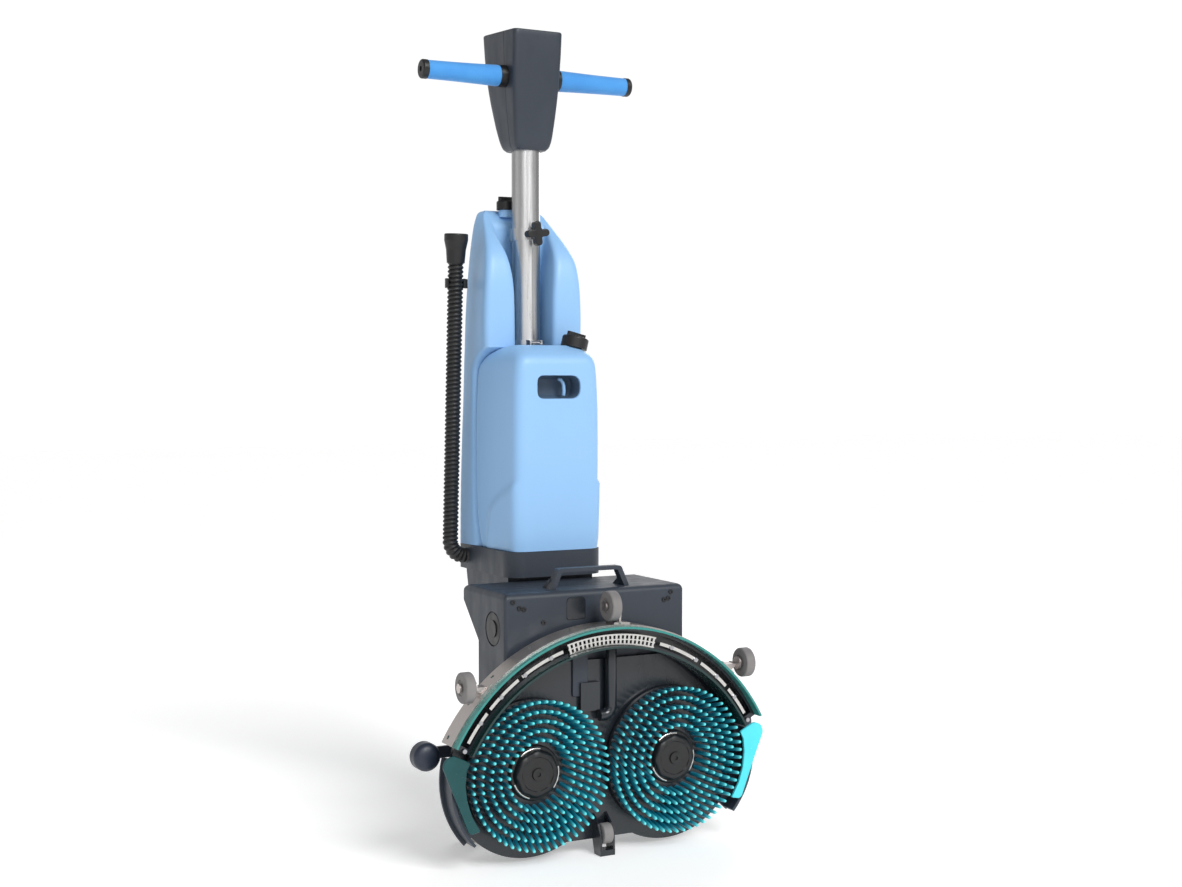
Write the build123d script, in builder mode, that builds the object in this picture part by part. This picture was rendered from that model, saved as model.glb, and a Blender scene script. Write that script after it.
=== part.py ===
from build123d import *
import os
from math import cos, radians, sin

os.makedirs("parts", exist_ok=True)

# Millimetres, +Z up.  The machine stands parked: its brush deck is folded in line with the
# column and its underside faces -Y.  The origin lies on the floor under the middle of the whole.

# ---------------------------------------------------------------- driving dimensions
column_y = 109.5            # the column tube's axis, behind the middle
tube_r = 21.5
tube_foot_z = 386.0
tube_top_z = 1040.0

head_low_z = 1014.0
head_high_z = 1186.0
head_top = (39.0, -46.0, 72.0)      # half width, front and back from the tube's axis
head_bottom = (30.0, -26.0, 36.0)
bar_y = column_y - 8.0
bar_z = 1121.0
bar_r = 11.0
grip_inner_x = 50.0
grip_outer_x = 165.0

tank_foot_z = 416.0         # both tanks stand on the base at this height
clean_top_z = 705.0
clean_half_x = 77.0
clean_front_y = column_y - 110.0
clean_back_y = column_y + 10.0
recovery_top_z = 926.0
recovery_half_x = 86.0
wall = 3.0

base_low_z = 378.0
base_half_x = 78.0
base_front_y = column_y - 108.0
base_back_y = column_y + 72.0
split_y = column_y - 30.0   # where the base's front cover meets its rear housing

pivot_y = column_y - 105.0  # the axis that the column folds about
pivot_z = 290.0
neck_half_x = 70.0

box_front_y = column_y - 228.0
box_back_y = column_y - 88.0
box_waist_y = column_y - 140.0
box_half_x = 143.0
box_top_z = 372.0
box_low_z = 206.0
plate_t = 8.0
plate_y = box_front_y - plate_t     # front face of the deck plate

brush_x = 109.0
brush_z = 127.0
brush_back_y = column_y - 241.0
brush_disc_t = 6.0
bristle_tip_y = column_y - 277.0
bristle_r = 106.5

arch_z = 52.0               # centre of the squeegee's arch
arch_half_deg = 62.0        # the arch reaches this far each side of straight up
band_r = 275.0
beam_back_y = column_y - 240.0
beam_front_y = column_y - 271.0
blade_tip_y = column_y - 286.0
roller_r = 21.0
roller_w = 15.0
roller_reach = 301.0        # from the arch's centre to a support roller's axle
roller_y = column_y - 270.0
roller_degs = {"left": 137.0, "top": 90.0, "right": 43.0}
stud_degs = (118.0, 62.0)   # where the squeegee's two float studs stand
stud_reach = 252.0
stud_r = 5.0
stud_depth = 4.0

rear_wheel_r = 24.0
rear_wheel_x = 138.0
rear_wheel_y = column_y - 108.0
bumper_x = 252.0
bumper_y = column_y - 205.0
bumper_z = 156.0
gap = 0.5                   # air between pieces that move past each other

sides = {"left": -1, "right": 1}


# ---------------------------------------------------------------- helpers
def facing(y):
    """A sketch plane at this y that looks along -Y, with X to the right and Z up."""
    return Plane.XZ.offset(-y)


def sideways(x):
    """A sketch plane at this x that looks along +X, with Y to the right and Z up."""
    return Plane.YZ.offset(x)


def arch_ring(inner, outer, half_deg=arch_half_deg, middle_deg=90.0):
    """A flat stretch of ring about the arch's centre."""
    start = middle_deg - half_deg
    sweep_deg = 2 * half_deg
    with BuildSketch() as ring:
        with BuildLine():
            CenterArc((0, arch_z), outer, start, sweep_deg)
            CenterArc((0, arch_z), inner, start, sweep_deg)
            for deg in (start, start + sweep_deg):
                Line(on_arch(inner, deg), on_arch(outer, deg))
        make_face()
    return ring.sketch


def on_arch(reach, deg):
    """X and Z of a point at this reach and angle from the arch's centre."""
    return reach * cos(radians(deg)), arch_z + reach * sin(radians(deg))


# ---------------------------------------------------------------- the column
with BuildPart() as column_tube:
    with BuildSketch(Plane.XY.offset(tube_foot_z)):
        with Locations((0, column_y)):
            Circle(tube_r)
            Circle(tube_r - 2.5, mode=Mode.SUBTRACT)
    extrude(amount=tube_top_z - tube_foot_z)
    # a key groove runs down the front of the tube, below the clamp
    with Locations((0, column_y - tube_r, 780)):
        Box(2.0, 1.6, 170, mode=Mode.SUBTRACT)
column_tube.part.label = "column_tube"
export_step(column_tube.part, "parts/column_tube.step")

# The head is one tapered form, made as a front and a rear shell that meet at the bar.
for name, keep_front in (("head_front_shell", True), ("head_rear_shell", False)):
    with BuildPart() as head_shell:
        for shrink, cut in ((0.0, Mode.ADD), (wall, Mode.SUBTRACT)):
            for z, (half, front, back), r in (
                (head_low_z + shrink, head_bottom, 11.0),
                (head_high_z, head_top, 13.0),
            ):
                with BuildSketch(Plane.XY.offset(z)):
                    with Locations((0, column_y + (front + back) / 2)):
                        RectangleRounded(
                            2 * (half - shrink), back - front - 2 * shrink, r - shrink
                        )
            loft(mode=cut)
        with Locations((0, column_y, head_low_z)):
            Cylinder(tube_r, 60, mode=Mode.SUBTRACT)
        with Locations((0, bar_y, bar_z)):
            Cylinder(bar_r, 200, rotation=(0, 90, 0), mode=Mode.SUBTRACT)
        split(bisect_by=Plane.XZ.offset(-bar_y), keep=Keep.TOP if keep_front else Keep.BOTTOM)
    head_shell.part.label = name
    export_step(head_shell.part, f"parts/{name}.step")

panel_z = head_high_z
panel_t = 3.0
panel_mid_y = column_y + (head_top[1] + head_top[2]) / 2
panel_len = head_top[2] - head_top[1]
lens_len = 44.0
lens_w = 46.0
lens_y = panel_mid_y + 16.0
button_xs = {"power": -14.0, "pump": 14.0}
button_y = panel_mid_y - 28.0
button_r = 8.0
button_proud = 2.5
with BuildPart() as head_panel:
    with BuildSketch(Plane.XY.offset(panel_z)):
        with Locations((0, panel_mid_y)):
            RectangleRounded(2 * head_top[0], panel_len, 13)
    extrude(amount=panel_t)
    fillet(head_panel.faces().sort_by(Axis.Z)[-1].edges(), 1.6)
    with Locations((0, lens_y, panel_z + panel_t)):
        Box(lens_w, lens_len, 2 * 1.2, mode=Mode.SUBTRACT)
    with Locations(*[(x, button_y, panel_z) for x in button_xs.values()]):
        Cylinder(button_r + gap, 20, mode=Mode.SUBTRACT)
head_panel.part.label = "head_panel"
export_step(head_panel.part, "parts/head_panel.step")

with BuildPart() as display_lens:
    with BuildSketch(Plane.XY.offset(panel_z + panel_t - 1.2)):
        with Locations((0, lens_y)):
            Rectangle(lens_w, lens_len)
    extrude(amount=1.2)
display_lens.part.label = "display_lens"
export_step(display_lens.part, "parts/display_lens.step")

board_z = panel_z - 14.0
with BuildPart() as control_board:
    with BuildSketch(Plane.XY.offset(board_z)):
        with Locations((0, panel_mid_y)):
            RectangleRounded(56, 92, 3)
    extrude(amount=1.6)
    with BuildSketch(Plane.XY.offset(board_z + 1.6)):
        with Locations((0, panel_mid_y + 24)):
            with GridLocations(20, 16, 2, 2):
                Rectangle(9, 7)
    extrude(amount=2)
    # pillars hold the board under the panel
    with BuildSketch(Plane.XY.offset(board_z + 1.6)):
        with Locations((0, panel_mid_y)):
            with GridLocations(46, 84, 2, 2):
                Circle(2.5)
    extrude(amount=panel_z - board_z - 1.6)
control_board.part.label = "control_board"
export_step(control_board.part, "parts/control_board.step")

for name, x in button_xs.items():
    with BuildPart() as button:
        with BuildSketch(Plane.XY.offset(panel_z - 5.0)):
            with Locations((x, button_y)):
                Circle(button_r)
        extrude(amount=5.0 + panel_t + button_proud)
        fillet(button.faces().sort_by(Axis.Z)[-1].edges(), 1.2)
    button.part.label = f"{name}_button"
    export_step(button.part, f"parts/{name}_button.step")

with BuildPart() as handlebar_tube:
    with BuildSketch(sideways(-grip_outer_x)):
        with Locations((bar_y, bar_z)):
            Circle(bar_r)
            Circle(bar_r - 2, mode=Mode.SUBTRACT)
    extrude(amount=2 * grip_outer_x)
handlebar_tube.part.label = "handlebar_tube"
export_step(handlebar_tube.part, "parts/handlebar_tube.step")

# Each grip swells a little towards the head.
with BuildPart() as grips:
    for sign in sides.values():
        with BuildSketch(Plane.XY.offset(bar_z)):
            with BuildLine():
                Polyline(
                    (sign * grip_inner_x, bar_y + bar_r),
                    (sign * grip_inner_x, bar_y + 15.5),
                    (sign * (grip_inner_x + 3), bar_y + 15.8),
                )
                Spline(
                    (sign * (grip_inner_x + 3), bar_y + 15.8),
                    (sign * (grip_inner_x + 45), bar_y + 14.6),
                    (sign * grip_outer_x, bar_y + 13.6),
                )
                Polyline(
                    (sign * grip_outer_x, bar_y + 13.6),
                    (sign * grip_outer_x, bar_y + bar_r),
                    (sign * grip_inner_x, bar_y + bar_r),
                )
            make_face()
        revolve(axis=Axis((0, bar_y, bar_z), (1, 0, 0)))
grips.part.label = "grips"
export_step(grips.part, "parts/grips.step")

end_cap_len = 9.0
collar_inner_x = 39.0
with BuildPart() as grip_fittings:
    for sign in sides.values():
        with Locations((sign * (grip_outer_x + end_cap_len / 2), bar_y, bar_z)):
            Cylinder(14.2, end_cap_len, rotation=(0, 90, 0))
    fillet(grip_fittings.edges().group_by(Axis.X)[0] + grip_fittings.edges().group_by(Axis.X)[-1], 3)
    for sign in sides.values():
        with Locations((sign * (grip_outer_x + end_cap_len), bar_y, bar_z)):
            Cylinder(4, 6, rotation=(0, 90, 0), mode=Mode.SUBTRACT)
        with Locations((sign * (collar_inner_x + grip_inner_x) / 2, bar_y, bar_z)):
            Cylinder(16.5, grip_inner_x - collar_inner_x, rotation=(0, 90, 0))
            Cylinder(bar_r, grip_inner_x - collar_inner_x, rotation=(0, 90, 0), mode=Mode.SUBTRACT)
grip_fittings.part.label = "grip_fittings"
export_step(grip_fittings.part, "parts/grip_fittings.step")

# The star knob screws into a clamp round the tube.
knob_z = 886.0
knob_y = column_y - tube_r - 17.0
with BuildPart() as star_knob:
    with BuildSketch(facing(knob_y + 5)):
        with Locations((0, knob_z)):
            Circle(9)
            for turn in (6, 96):
                with Locations(Location((0, 0, 0), (0, 0, turn))):
                    SlotOverall(37, 11)
    extrude(amount=12)
    fillet(star_knob.faces().sort_by(Axis.Y)[0].edges(), 2)
    with Locations((0, knob_y + 9, knob_z)):
        Cylinder(3, 10, rotation=(90, 0, 0))
star_knob.part.label = "star_knob"
export_step(star_knob.part, "parts/star_knob.step")

# ---------------------------------------------------------------- the clean water tank
handle_z = 656.0
handle_half_x = 31.0
# The filler cap leans out to the right on a short neck.
cap_lean_deg = 14.0
filler_x = 44.0
filler_y = column_y - 68.0
filler_plane = Plane(
    origin=(filler_x, filler_y, clean_top_z),
    x_dir=(cos(radians(cap_lean_deg)), 0, -sin(radians(cap_lean_deg))),
    z_dir=(sin(radians(cap_lean_deg)), 0, cos(radians(cap_lean_deg))),
)
with BuildPart() as clean_tank:
    for shrink, cut in ((0.0, Mode.ADD), (wall, Mode.SUBTRACT)):
        for z, half, front in (
            (tank_foot_z + shrink, 73.0, clean_front_y + 2),
            (560.0, clean_half_x, clean_front_y - 2),
            (clean_top_z - shrink, 70.0, clean_front_y + 7),
        ):
            with BuildSketch(Plane.XY.offset(z)):
                with Locations((0, (front + clean_back_y) / 2)):
                    RectangleRounded(
                        2 * (half - shrink), clean_back_y - front - 2 * shrink, 24 - shrink
                    )
        loft(mode=cut)
    fillet(clean_tank.edges().group_by(Axis.Z)[-1], 9)
    # the back stands round the column tube
    with BuildSketch(Plane.XY.offset(tank_foot_z)):
        with Locations((0, column_y)):
            SlotOverall(120, 2 * tube_r + 10, rotation=90)
    extrude(amount=300, mode=Mode.SUBTRACT)
    # a lining closes the cut, and a second one makes the finger pocket in front
    with BuildSketch(Plane.XY.offset(tank_foot_z)):
        with BuildLine():
            CenterArc((0, column_y), tube_r + 5, 180, 180)
            CenterArc((0, column_y), tube_r + 8, 180, 180)
            for sign in (-1, 1):
                Line((sign * (tube_r + 5), column_y), (sign * (tube_r + 8), column_y))
        make_face()
        for sign in (-1, 1):
            with Locations((sign * (tube_r + 6.5), (column_y + clean_back_y) / 2)):
                Rectangle(3, clean_back_y - column_y)
    extrude(amount=clean_top_z - tank_foot_z)
    with BuildSketch(facing(clean_front_y + 26)):
        with Locations((0, handle_z)):
            RectangleRounded(2 * handle_half_x + 6, 34, 12)
    extrude(amount=22)
    with BuildSketch(facing(clean_front_y + 23)):
        with Locations((0, handle_z)):
            RectangleRounded(2 * handle_half_x, 27, 10)
    extrude(amount=40, mode=Mode.SUBTRACT)
    with BuildSketch(Plane.XY.offset(clean_top_z)):
        with Locations((filler_x, filler_y)):
            Circle(21)
    with BuildSketch(filler_plane.offset(9)):
        Circle(17)
    loft()
clean_tank.part.label = "clean_tank"
export_step(clean_tank.part, "parts/clean_tank.step")

with BuildPart() as filler_cap:
    with BuildSketch(filler_plane.offset(9 + gap)):
        Circle(20)
    extrude(amount=17)
    fillet(filler_cap.faces().sort_by(Axis.Z)[-1].edges(), 3)
    with BuildSketch(filler_plane.offset(9 + gap + 17)):
        RectangleRounded(30, 8, 3)
    extrude(amount=6)
filler_cap.part.label = "filler_cap"
export_step(filler_cap.part, "parts/filler_cap.step")

# ---------------------------------------------------------------- the recovery tank
step_z = 714.0              # below this the tank stands further back, behind the clean tank
step_y = column_y + 26.0
vent_x = -16.0              # the emptying neck behind the tube
vent_y = column_y + 38.0
vent_top_z = recovery_top_z


def recovery_form(shrink):
    """The tank's side outline crossed with its front outline, drawn in by the wall."""
    with BuildPart() as side_form:
        with BuildSketch(sideways(-recovery_half_x)):
            with BuildLine():
                face = Polyline(
                    (column_y + 70 - shrink, tank_foot_z + shrink),
                    (step_y + shrink, tank_foot_z + shrink),
                    (step_y + shrink, step_z + shrink),
                    (column_y - 30 + shrink, step_z + shrink),
                    (column_y - 32 + shrink, 800),
                )
                brow = Spline(
                    face @ 1,
                    (column_y - 16 + shrink, 880 - shrink),
                    (column_y + 20, recovery_top_z - shrink),
                )
                Spline(
                    brow @ 1,
                    (column_y + 38 - shrink, 905),
                    (column_y + 50 - shrink, 800),
                    (column_y + 60 - shrink, 620),
                    face @ 0,
                )
            make_face()
        extrude(amount=2 * recovery_half_x)
    with BuildPart() as front_form:
        with BuildSketch(facing(column_y + 90)):
            with BuildLine():
                low = Line((-80 + shrink, tank_foot_z), (80 - shrink, tank_foot_z))
                right = Line(low @ 1, (recovery_half_x - shrink, 560))
                shoulder = Spline(
                    right @ 1,
                    (recovery_half_x - shrink, 760),
                    (66 - shrink, 868 - shrink),
                    (24, recovery_top_z - shrink),
                )
                crown = Line(shoulder @ 1, (-24, recovery_top_z - shrink))
                other = Spline(
                    crown @ 1,
                    (-66 + shrink, 868 - shrink),
                    (-recovery_half_x + shrink, 760),
                    (-recovery_half_x + shrink, 560),
                )
                Line(other @ 1, low @ 0)
            make_face()
        extrude(amount=160)
    return side_form.part.intersect(front_form.part)


recovery_outside = recovery_form(0.0)
recovery_inside = recovery_form(wall)
with BuildPart() as recovery_tank:
    add(recovery_outside)
    add(recovery_inside, mode=Mode.SUBTRACT)
    # the tube stands in a channel between the shoulders
    with BuildSketch(Plane.XY.offset(step_z - 40)):
        with Locations((0, column_y - 20)):
            RectangleRounded(62, 94, 14)
    extrude(amount=260, mode=Mode.SUBTRACT)
    with BuildSketch(Plane.XY.offset(step_z)):
        with Locations((0, column_y - 20)):
            RectangleRounded(68, 100, 17)
            RectangleRounded(62, 94, 14, mode=Mode.SUBTRACT)
        with Locations((0, column_y - 52)):
            Rectangle(90, 44, mode=Mode.SUBTRACT)
    extrude(amount=150)
    with BuildSketch(Plane.XY.offset(vent_top_z - 26)):
        with Locations((vent_x, vent_y)):
            Circle(12)
    extrude(amount=26)
recovery_tank.part.label = "recovery_tank"
export_step(recovery_tank.part, "parts/recovery_tank.step")

with BuildPart() as recovery_cap:
    with BuildSketch(Plane.XY.offset(vent_top_z + gap)):
        with Locations((vent_x, vent_y)):
            Circle(14)
    extrude(amount=14)
    fillet(recovery_cap.faces().sort_by(Axis.Z)[-1].edges(), 3)
    with BuildSketch(Plane.XY.offset(vent_top_z + gap + 14)):
        with Locations((vent_x, vent_y)):
            RectangleRounded(24, 7, 3)
    extrude(amount=6)
recovery_cap.part.label = "recovery_cap"
export_step(recovery_cap.part, "parts/recovery_cap.step")

# ---------------------------------------------------------------- the drain hose
hose_r = 11.5
hose_x = -105.0
hose_top = (hose_x, column_y + 25, 842.0)
hose_bend = (hose_x, column_y + 50, 398.0)
hose_end = (-base_half_x, column_y + 50, 398.0)
hose_bend_r = 24.0
hose_path = FilletPolyline(hose_top, hose_bend, hose_end, radius=hose_bend_r)
hose_run = Vector(*hose_bend) - Vector(*hose_top)
top_plane = Plane(origin=hose_top, z_dir=hose_run)
with BuildPart() as drain_hose:
    with BuildSketch(top_plane):
        Circle(hose_r)
        Circle(hose_r - 2.5, mode=Mode.SUBTRACT)
    sweep(path=hose_path)
drain_hose.part.label = "drain_hose"
export_step(drain_hose.part, "parts/drain_hose.step")
hose_section = 3.14159 * (hose_r**2 - (hose_r - 2.5) ** 2)
print("hose arc radius", hose_bend_r, "length", round(hose_path.length, 1))
print("hose volume ratio", round(drain_hose.part.volume / (hose_path.length * hose_section), 4))

# A flared cuff closes the hose's free end with its own plug.
cuff_plane = Plane(origin=hose_top, z_dir=-hose_run)
with BuildPart() as hose_cuff:
    with BuildSketch(cuff_plane):
        Circle(hose_r + 2)
    with BuildSketch(cuff_plane.offset(20)):
        Circle(hose_r + 3.5)
    with BuildSketch(cuff_plane.offset(34)):
        Circle(18)
    loft(ruled=True)
    with BuildSketch(cuff_plane.offset(34)):
        Circle(18)
    extrude(amount=10)
    fillet(hose_cuff.faces().sort_by(Axis.Z)[-1].edges(), 2)
    with BuildSketch(cuff_plane.offset(44)):
        Circle(11)
    extrude(amount=-26, mode=Mode.SUBTRACT)
hose_cuff.part.label = "hose_cuff"
export_step(hose_cuff.part, "parts/hose_cuff.step")

# The clip on the tank's side is open to the front, so the tank leaves it behind.
clip_z = 812.0
clip_y = column_y + 26.7
with BuildPart() as hose_clip:
    with BuildSketch(Plane.XY.offset(clip_z - 7)):
        with Locations((hose_x, clip_y)):
            Circle(hose_r + 4.2)
            Circle(hose_r + 1.2, mode=Mode.SUBTRACT)
            with Locations((0, -14)):
                Rectangle(40, 22, mode=Mode.SUBTRACT)
        with Locations((hose_x + 18, clip_y + 7)):
            Rectangle(8, 6)
    extrude(amount=14)
hose_clip.part.label = "hose_clip"
export_step(hose_clip.part, "parts/hose_clip.step")

# ---------------------------------------------------------------- the base and its neck
base_top_z = tank_foot_z - gap
with BuildPart() as base_front_cover:
    for shrink, cut in ((0.0, Mode.ADD), (wall, Mode.SUBTRACT)):
        with BuildSketch(Plane.XY.offset(base_low_z + shrink)):
            with BuildLine():
                outline = FilletPolyline(
                    (-base_half_x + shrink, split_y),
                    (-base_half_x + shrink, base_front_y + shrink),
                    (base_half_x - shrink, base_front_y + shrink),
                    (base_half_x - shrink, split_y),
                    radius=26 - shrink,
                )
                Line(outline @ 1, outline @ 0)
            make_face()
        extrude(amount=base_top_z - base_low_z - 2 * shrink, mode=cut)
base_front_cover.part.label = "base_front_cover"
export_step(base_front_cover.part, "parts/base_front_cover.step")

neck_front_y = column_y - 83.0
bush_r = 12.0
pin_r = 8.0
with BuildPart() as base_rear_housing:
    for shrink, cut in ((0.0, Mode.ADD), (wall + 1, Mode.SUBTRACT)):
        # the part under the tanks
        with BuildSketch(sideways(-base_half_x + shrink)):
            with Locations(((split_y + base_back_y) / 2, (base_low_z + base_top_z) / 2)):
                Rectangle(base_back_y - split_y - 2 * shrink, base_top_z - base_low_z - 2 * shrink)
        extrude(amount=2 * (base_half_x - shrink), mode=cut)
        # the neck that reaches down behind the deck box to the pivot
        with BuildSketch(sideways(-neck_half_x + shrink)):
            with BuildLine():
                Polyline(
                    (neck_front_y + shrink, base_low_z + shrink * 2.2),
                    (base_back_y - 4 - shrink, base_low_z + shrink * 2.2),
                    (base_back_y - 14 - shrink, 336 + shrink),
                    (column_y - 18, 304 + shrink),
                    (column_y - 62, 284 + shrink),
                    (pivot_y + 6, pivot_z - 22 + shrink),
                    (pivot_y - 14, pivot_z - 19 + shrink),
                    (pivot_y - 22 + shrink, pivot_z - 4),
                    (pivot_y - 19 + shrink, pivot_z + 12),
                    (neck_front_y + shrink, pivot_z + 34),
                    (neck_front_y + shrink, base_low_z + shrink * 2.2),
                )
            make_face()
        extrude(amount=2 * (neck_half_x - shrink), mode=cut)
    # a pillar inside takes the foot of the tube
    with BuildSketch(Plane.XY.offset(base_low_z + 2)):
        with Locations((0, column_y)):
            Circle(tube_r + 4)
    extrude(amount=base_top_z - base_low_z - 4)
    with BuildSketch(Plane.XY.offset(tube_foot_z)):
        with Locations((0, column_y)):
            Circle(tube_r)
    extrude(amount=60, mode=Mode.SUBTRACT)
    # holes for the pivot's bushes
    with Locations((0, pivot_y, pivot_z)):
        Cylinder(bush_r, 2 * neck_half_x + 10, rotation=(0, 90, 0), mode=Mode.SUBTRACT)
base_rear_housing.part.label = "base_rear_housing"
export_step(base_rear_housing.part, "parts/base_rear_housing.step")

with BuildPart() as pivot_bushes:
    for sign in sides.values():
        with Locations((sign * (neck_half_x - wall / 2), pivot_y, pivot_z)):
            Cylinder(bush_r, wall + 3, rotation=(0, 90, 0))
            Cylinder(pin_r + 0.08, wall + 4, rotation=(0, 90, 0), mode=Mode.SUBTRACT)
pivot_bushes.part.label = "pivot_bushes"
export_step(pivot_bushes.part, "parts/pivot_bushes.step")

lug_inner_x = neck_half_x + 1.5
lug_outer_x = lug_inner_x + 12.0
with BuildPart() as pivot_pin:
    with BuildSketch(sideways(-lug_outer_x)):
        with Locations((pivot_y, pivot_z)):
            Circle(pin_r)
    extrude(amount=2 * lug_outer_x)
    for sign in sides.values():
        with Locations((sign * (lug_outer_x + 2), pivot_y, pivot_z)):
            Cylinder(11, 4, rotation=(0, 90, 0))
pivot_pin.part.label = "pivot_pin"
export_step(pivot_pin.part, "parts/pivot_pin.step")

# Inside the base: the suction fan and the water pump.
with BuildPart() as fan_motor:
    with Locations((0, column_y + 22, 355)):
        Cylinder(22, 70, rotation=(0, 90, 0))
        Cylinder(9, 84, rotation=(0, 90, 0))
    fillet(fan_motor.edges().group_by(Axis.X)[0] + fan_motor.edges().group_by(Axis.X)[-1], 1.5)
fan_motor.part.label = "fan_motor"
export_step(fan_motor.part, "parts/fan_motor.step")

with BuildPart() as water_pump:
    with Locations((-34, column_y - 62, 396)):
        Cylinder(12, 44, rotation=(0, 90, 0))
    with Locations((0, column_y - 62, 396)):
        Box(24, 24, 24)
water_pump.part.label = "water_pump"
export_step(water_pump.part, "parts/water_pump.step")

# ---------------------------------------------------------------- the clean tank's latch
latch_z = clean_top_z + 16.0
latch_y = column_y - tube_r - 9.0
with BuildPart() as tube_collars:
    # the upper one is the star knob's clamp
    with BuildSketch(Plane.XY.offset(knob_z - 9)):
        with Locations((0, column_y)):
            Circle(tube_r + 3)
        with Locations((0, column_y - tube_r - 5)):
            Rectangle(15, 12)
        with Locations((0, column_y)):
            Circle(tube_r, mode=Mode.SUBTRACT)
    extrude(amount=18)
    with Locations((0, column_y - tube_r - 9, knob_z)):
        Cylinder(3.5, 14, rotation=(90, 0, 0), mode=Mode.SUBTRACT)
    # the lower one carries the latch between two ears
    with BuildSketch(Plane.XY.offset(latch_z - 6)):
        with Locations((0, column_y)):
            Circle(tube_r + 3)
            Circle(tube_r, mode=Mode.SUBTRACT)
    extrude(amount=12)
    for sign in sides.values():
        with BuildSketch(sideways(sign * 9 - 1.5)):
            with BuildLine():
                Polyline(
                    (column_y - tube_r - 1, latch_z - 6),
                    (column_y - tube_r - 1, latch_z + 6),
                    (latch_y - 5, latch_z + 5),
                    (latch_y - 5, latch_z - 5),
                    (column_y - tube_r - 1, latch_z - 6),
                )
            make_face()
        extrude(amount=3)
    with Locations((0, latch_y, latch_z)):
        Cylinder(2, 18, rotation=(0, 90, 0))
tube_collars.part.label = "tube_collars"
export_step(tube_collars.part, "parts/tube_collars.step")

with BuildPart() as tank_latch:
    with BuildSketch(sideways(-6.5)):
        with BuildLine():
            Polyline(
                (latch_y + 4, latch_z + 3),
                (latch_y - 30, latch_z - 3),
                (latch_y - 46, latch_z - 12),
                (latch_y - 47, latch_z - 15.2),
                (latch_y - 28, latch_z - 9),
                (latch_y + 4, latch_z - 5),
            )
            Line((latch_y + 4, latch_z - 5), (latch_y + 4, latch_z + 3))
        make_face()
    extrude(amount=13)
    with Locations((0, latch_y, latch_z)):
        Cylinder(4.5, 13, rotation=(0, 90, 0))
        Cylinder(2.06, 20, rotation=(0, 90, 0), mode=Mode.SUBTRACT)
tank_latch.part.label = "tank_latch"
export_step(tank_latch.part, "parts/tank_latch.step")

# ---------------------------------------------------------------- the deck box
cover_t = 3.0
with BuildPart() as deck_box:
    for shrink, cut in ((0.0, Mode.ADD), (cover_t, Mode.SUBTRACT)):
        with BuildSketch(sideways(-box_half_x + shrink)):
            with BuildLine():
                Polyline(
                    (box_front_y + shrink, box_low_z),
                    (box_front_y + shrink, box_top_z - shrink),
                    (box_back_y - shrink, box_top_z - shrink),
                    (box_back_y - shrink, box_top_z - 22 + shrink / 2),
                    (box_waist_y - shrink, box_top_z - 74 + shrink / 2),
                    (box_waist_y - shrink, box_low_z),
                    (box_front_y + shrink, box_low_z),
                )
            make_face()
        extrude(amount=2 * (box_half_x - shrink), mode=cut)
        if cut == Mode.ADD:
            upright = deck_box.edges().filter_by(Axis.Y).group_by(Axis.Z)[-1]
            fillet(upright + deck_box.edges().filter_by(Axis.X).group_by(Axis.Z)[-1], 9)
            front_rim = deck_box.faces().sort_by(Axis.Y)[0].edges().group_by(Axis.Z)[1:]
            fillet([e for group in front_rim for e in group], 5)
    # a round pocket in each side takes the plug
    for sign in sides.values():
        with Locations((sign * box_half_x, column_y - 188, 320)):
            Cylinder(24.5, 4, rotation=(0, 90, 0), mode=Mode.SUBTRACT)
    # two lugs behind it hold the column's pivot pin
    for sign in sides.values():
        with BuildSketch(sideways(sign * (lug_inner_x + 6) - 6)):
            with Locations((pivot_y, pivot_z)):
                Circle(20)
            with BuildLine():
                Polyline(
                    (box_waist_y, pivot_z + 6),
                    (pivot_y - 12, pivot_z + 16),
                    (pivot_y + 4, pivot_z - 19.6),
                    (box_waist_y, pivot_z - 48),
                    (box_waist_y, pivot_z + 6),
                )
            make_face()
            with Locations((pivot_y, pivot_z)):
                Circle(pin_r, mode=Mode.SUBTRACT)
        extrude(amount=12)
deck_box.part.label = "deck_box"
export_step(deck_box.part, "parts/deck_box.step")

with BuildPart() as side_plugs:
    for sign in sides.values():
        with Locations((sign * (box_half_x - 1.2), column_y - 188, 320)):
            Cylinder(22.5, 1.6, rotation=(0, 90, 0))
        with Locations((sign * (box_half_x - 0.5), column_y - 188, 320)):
            Cylinder(12, 3, rotation=(0, 90, 0))
side_plugs.part.label = "side_plugs"
export_step(side_plugs.part, "parts/side_plugs.step")

# Screws hold the box's front: two groups of three near its upper corners, and one low down.
screw_spots = (
    (-131, 361), (-121, 352), (-114, 350), (121, 361), (110, 350), (117, 352), (-84, 330),
)
with BuildPart() as box_screws:
    for x, z in screw_spots:
        with Locations((x, box_front_y - 0.8, z)):
            Cylinder(3.4, 1.6, rotation=(90, 0, 0))
            Cylinder(1.6, 3, rotation=(90, 0, 0), mode=Mode.SUBTRACT)
box_screws.part.label = "box_screws"
export_step(box_screws.part, "parts/box_screws.step")

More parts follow.
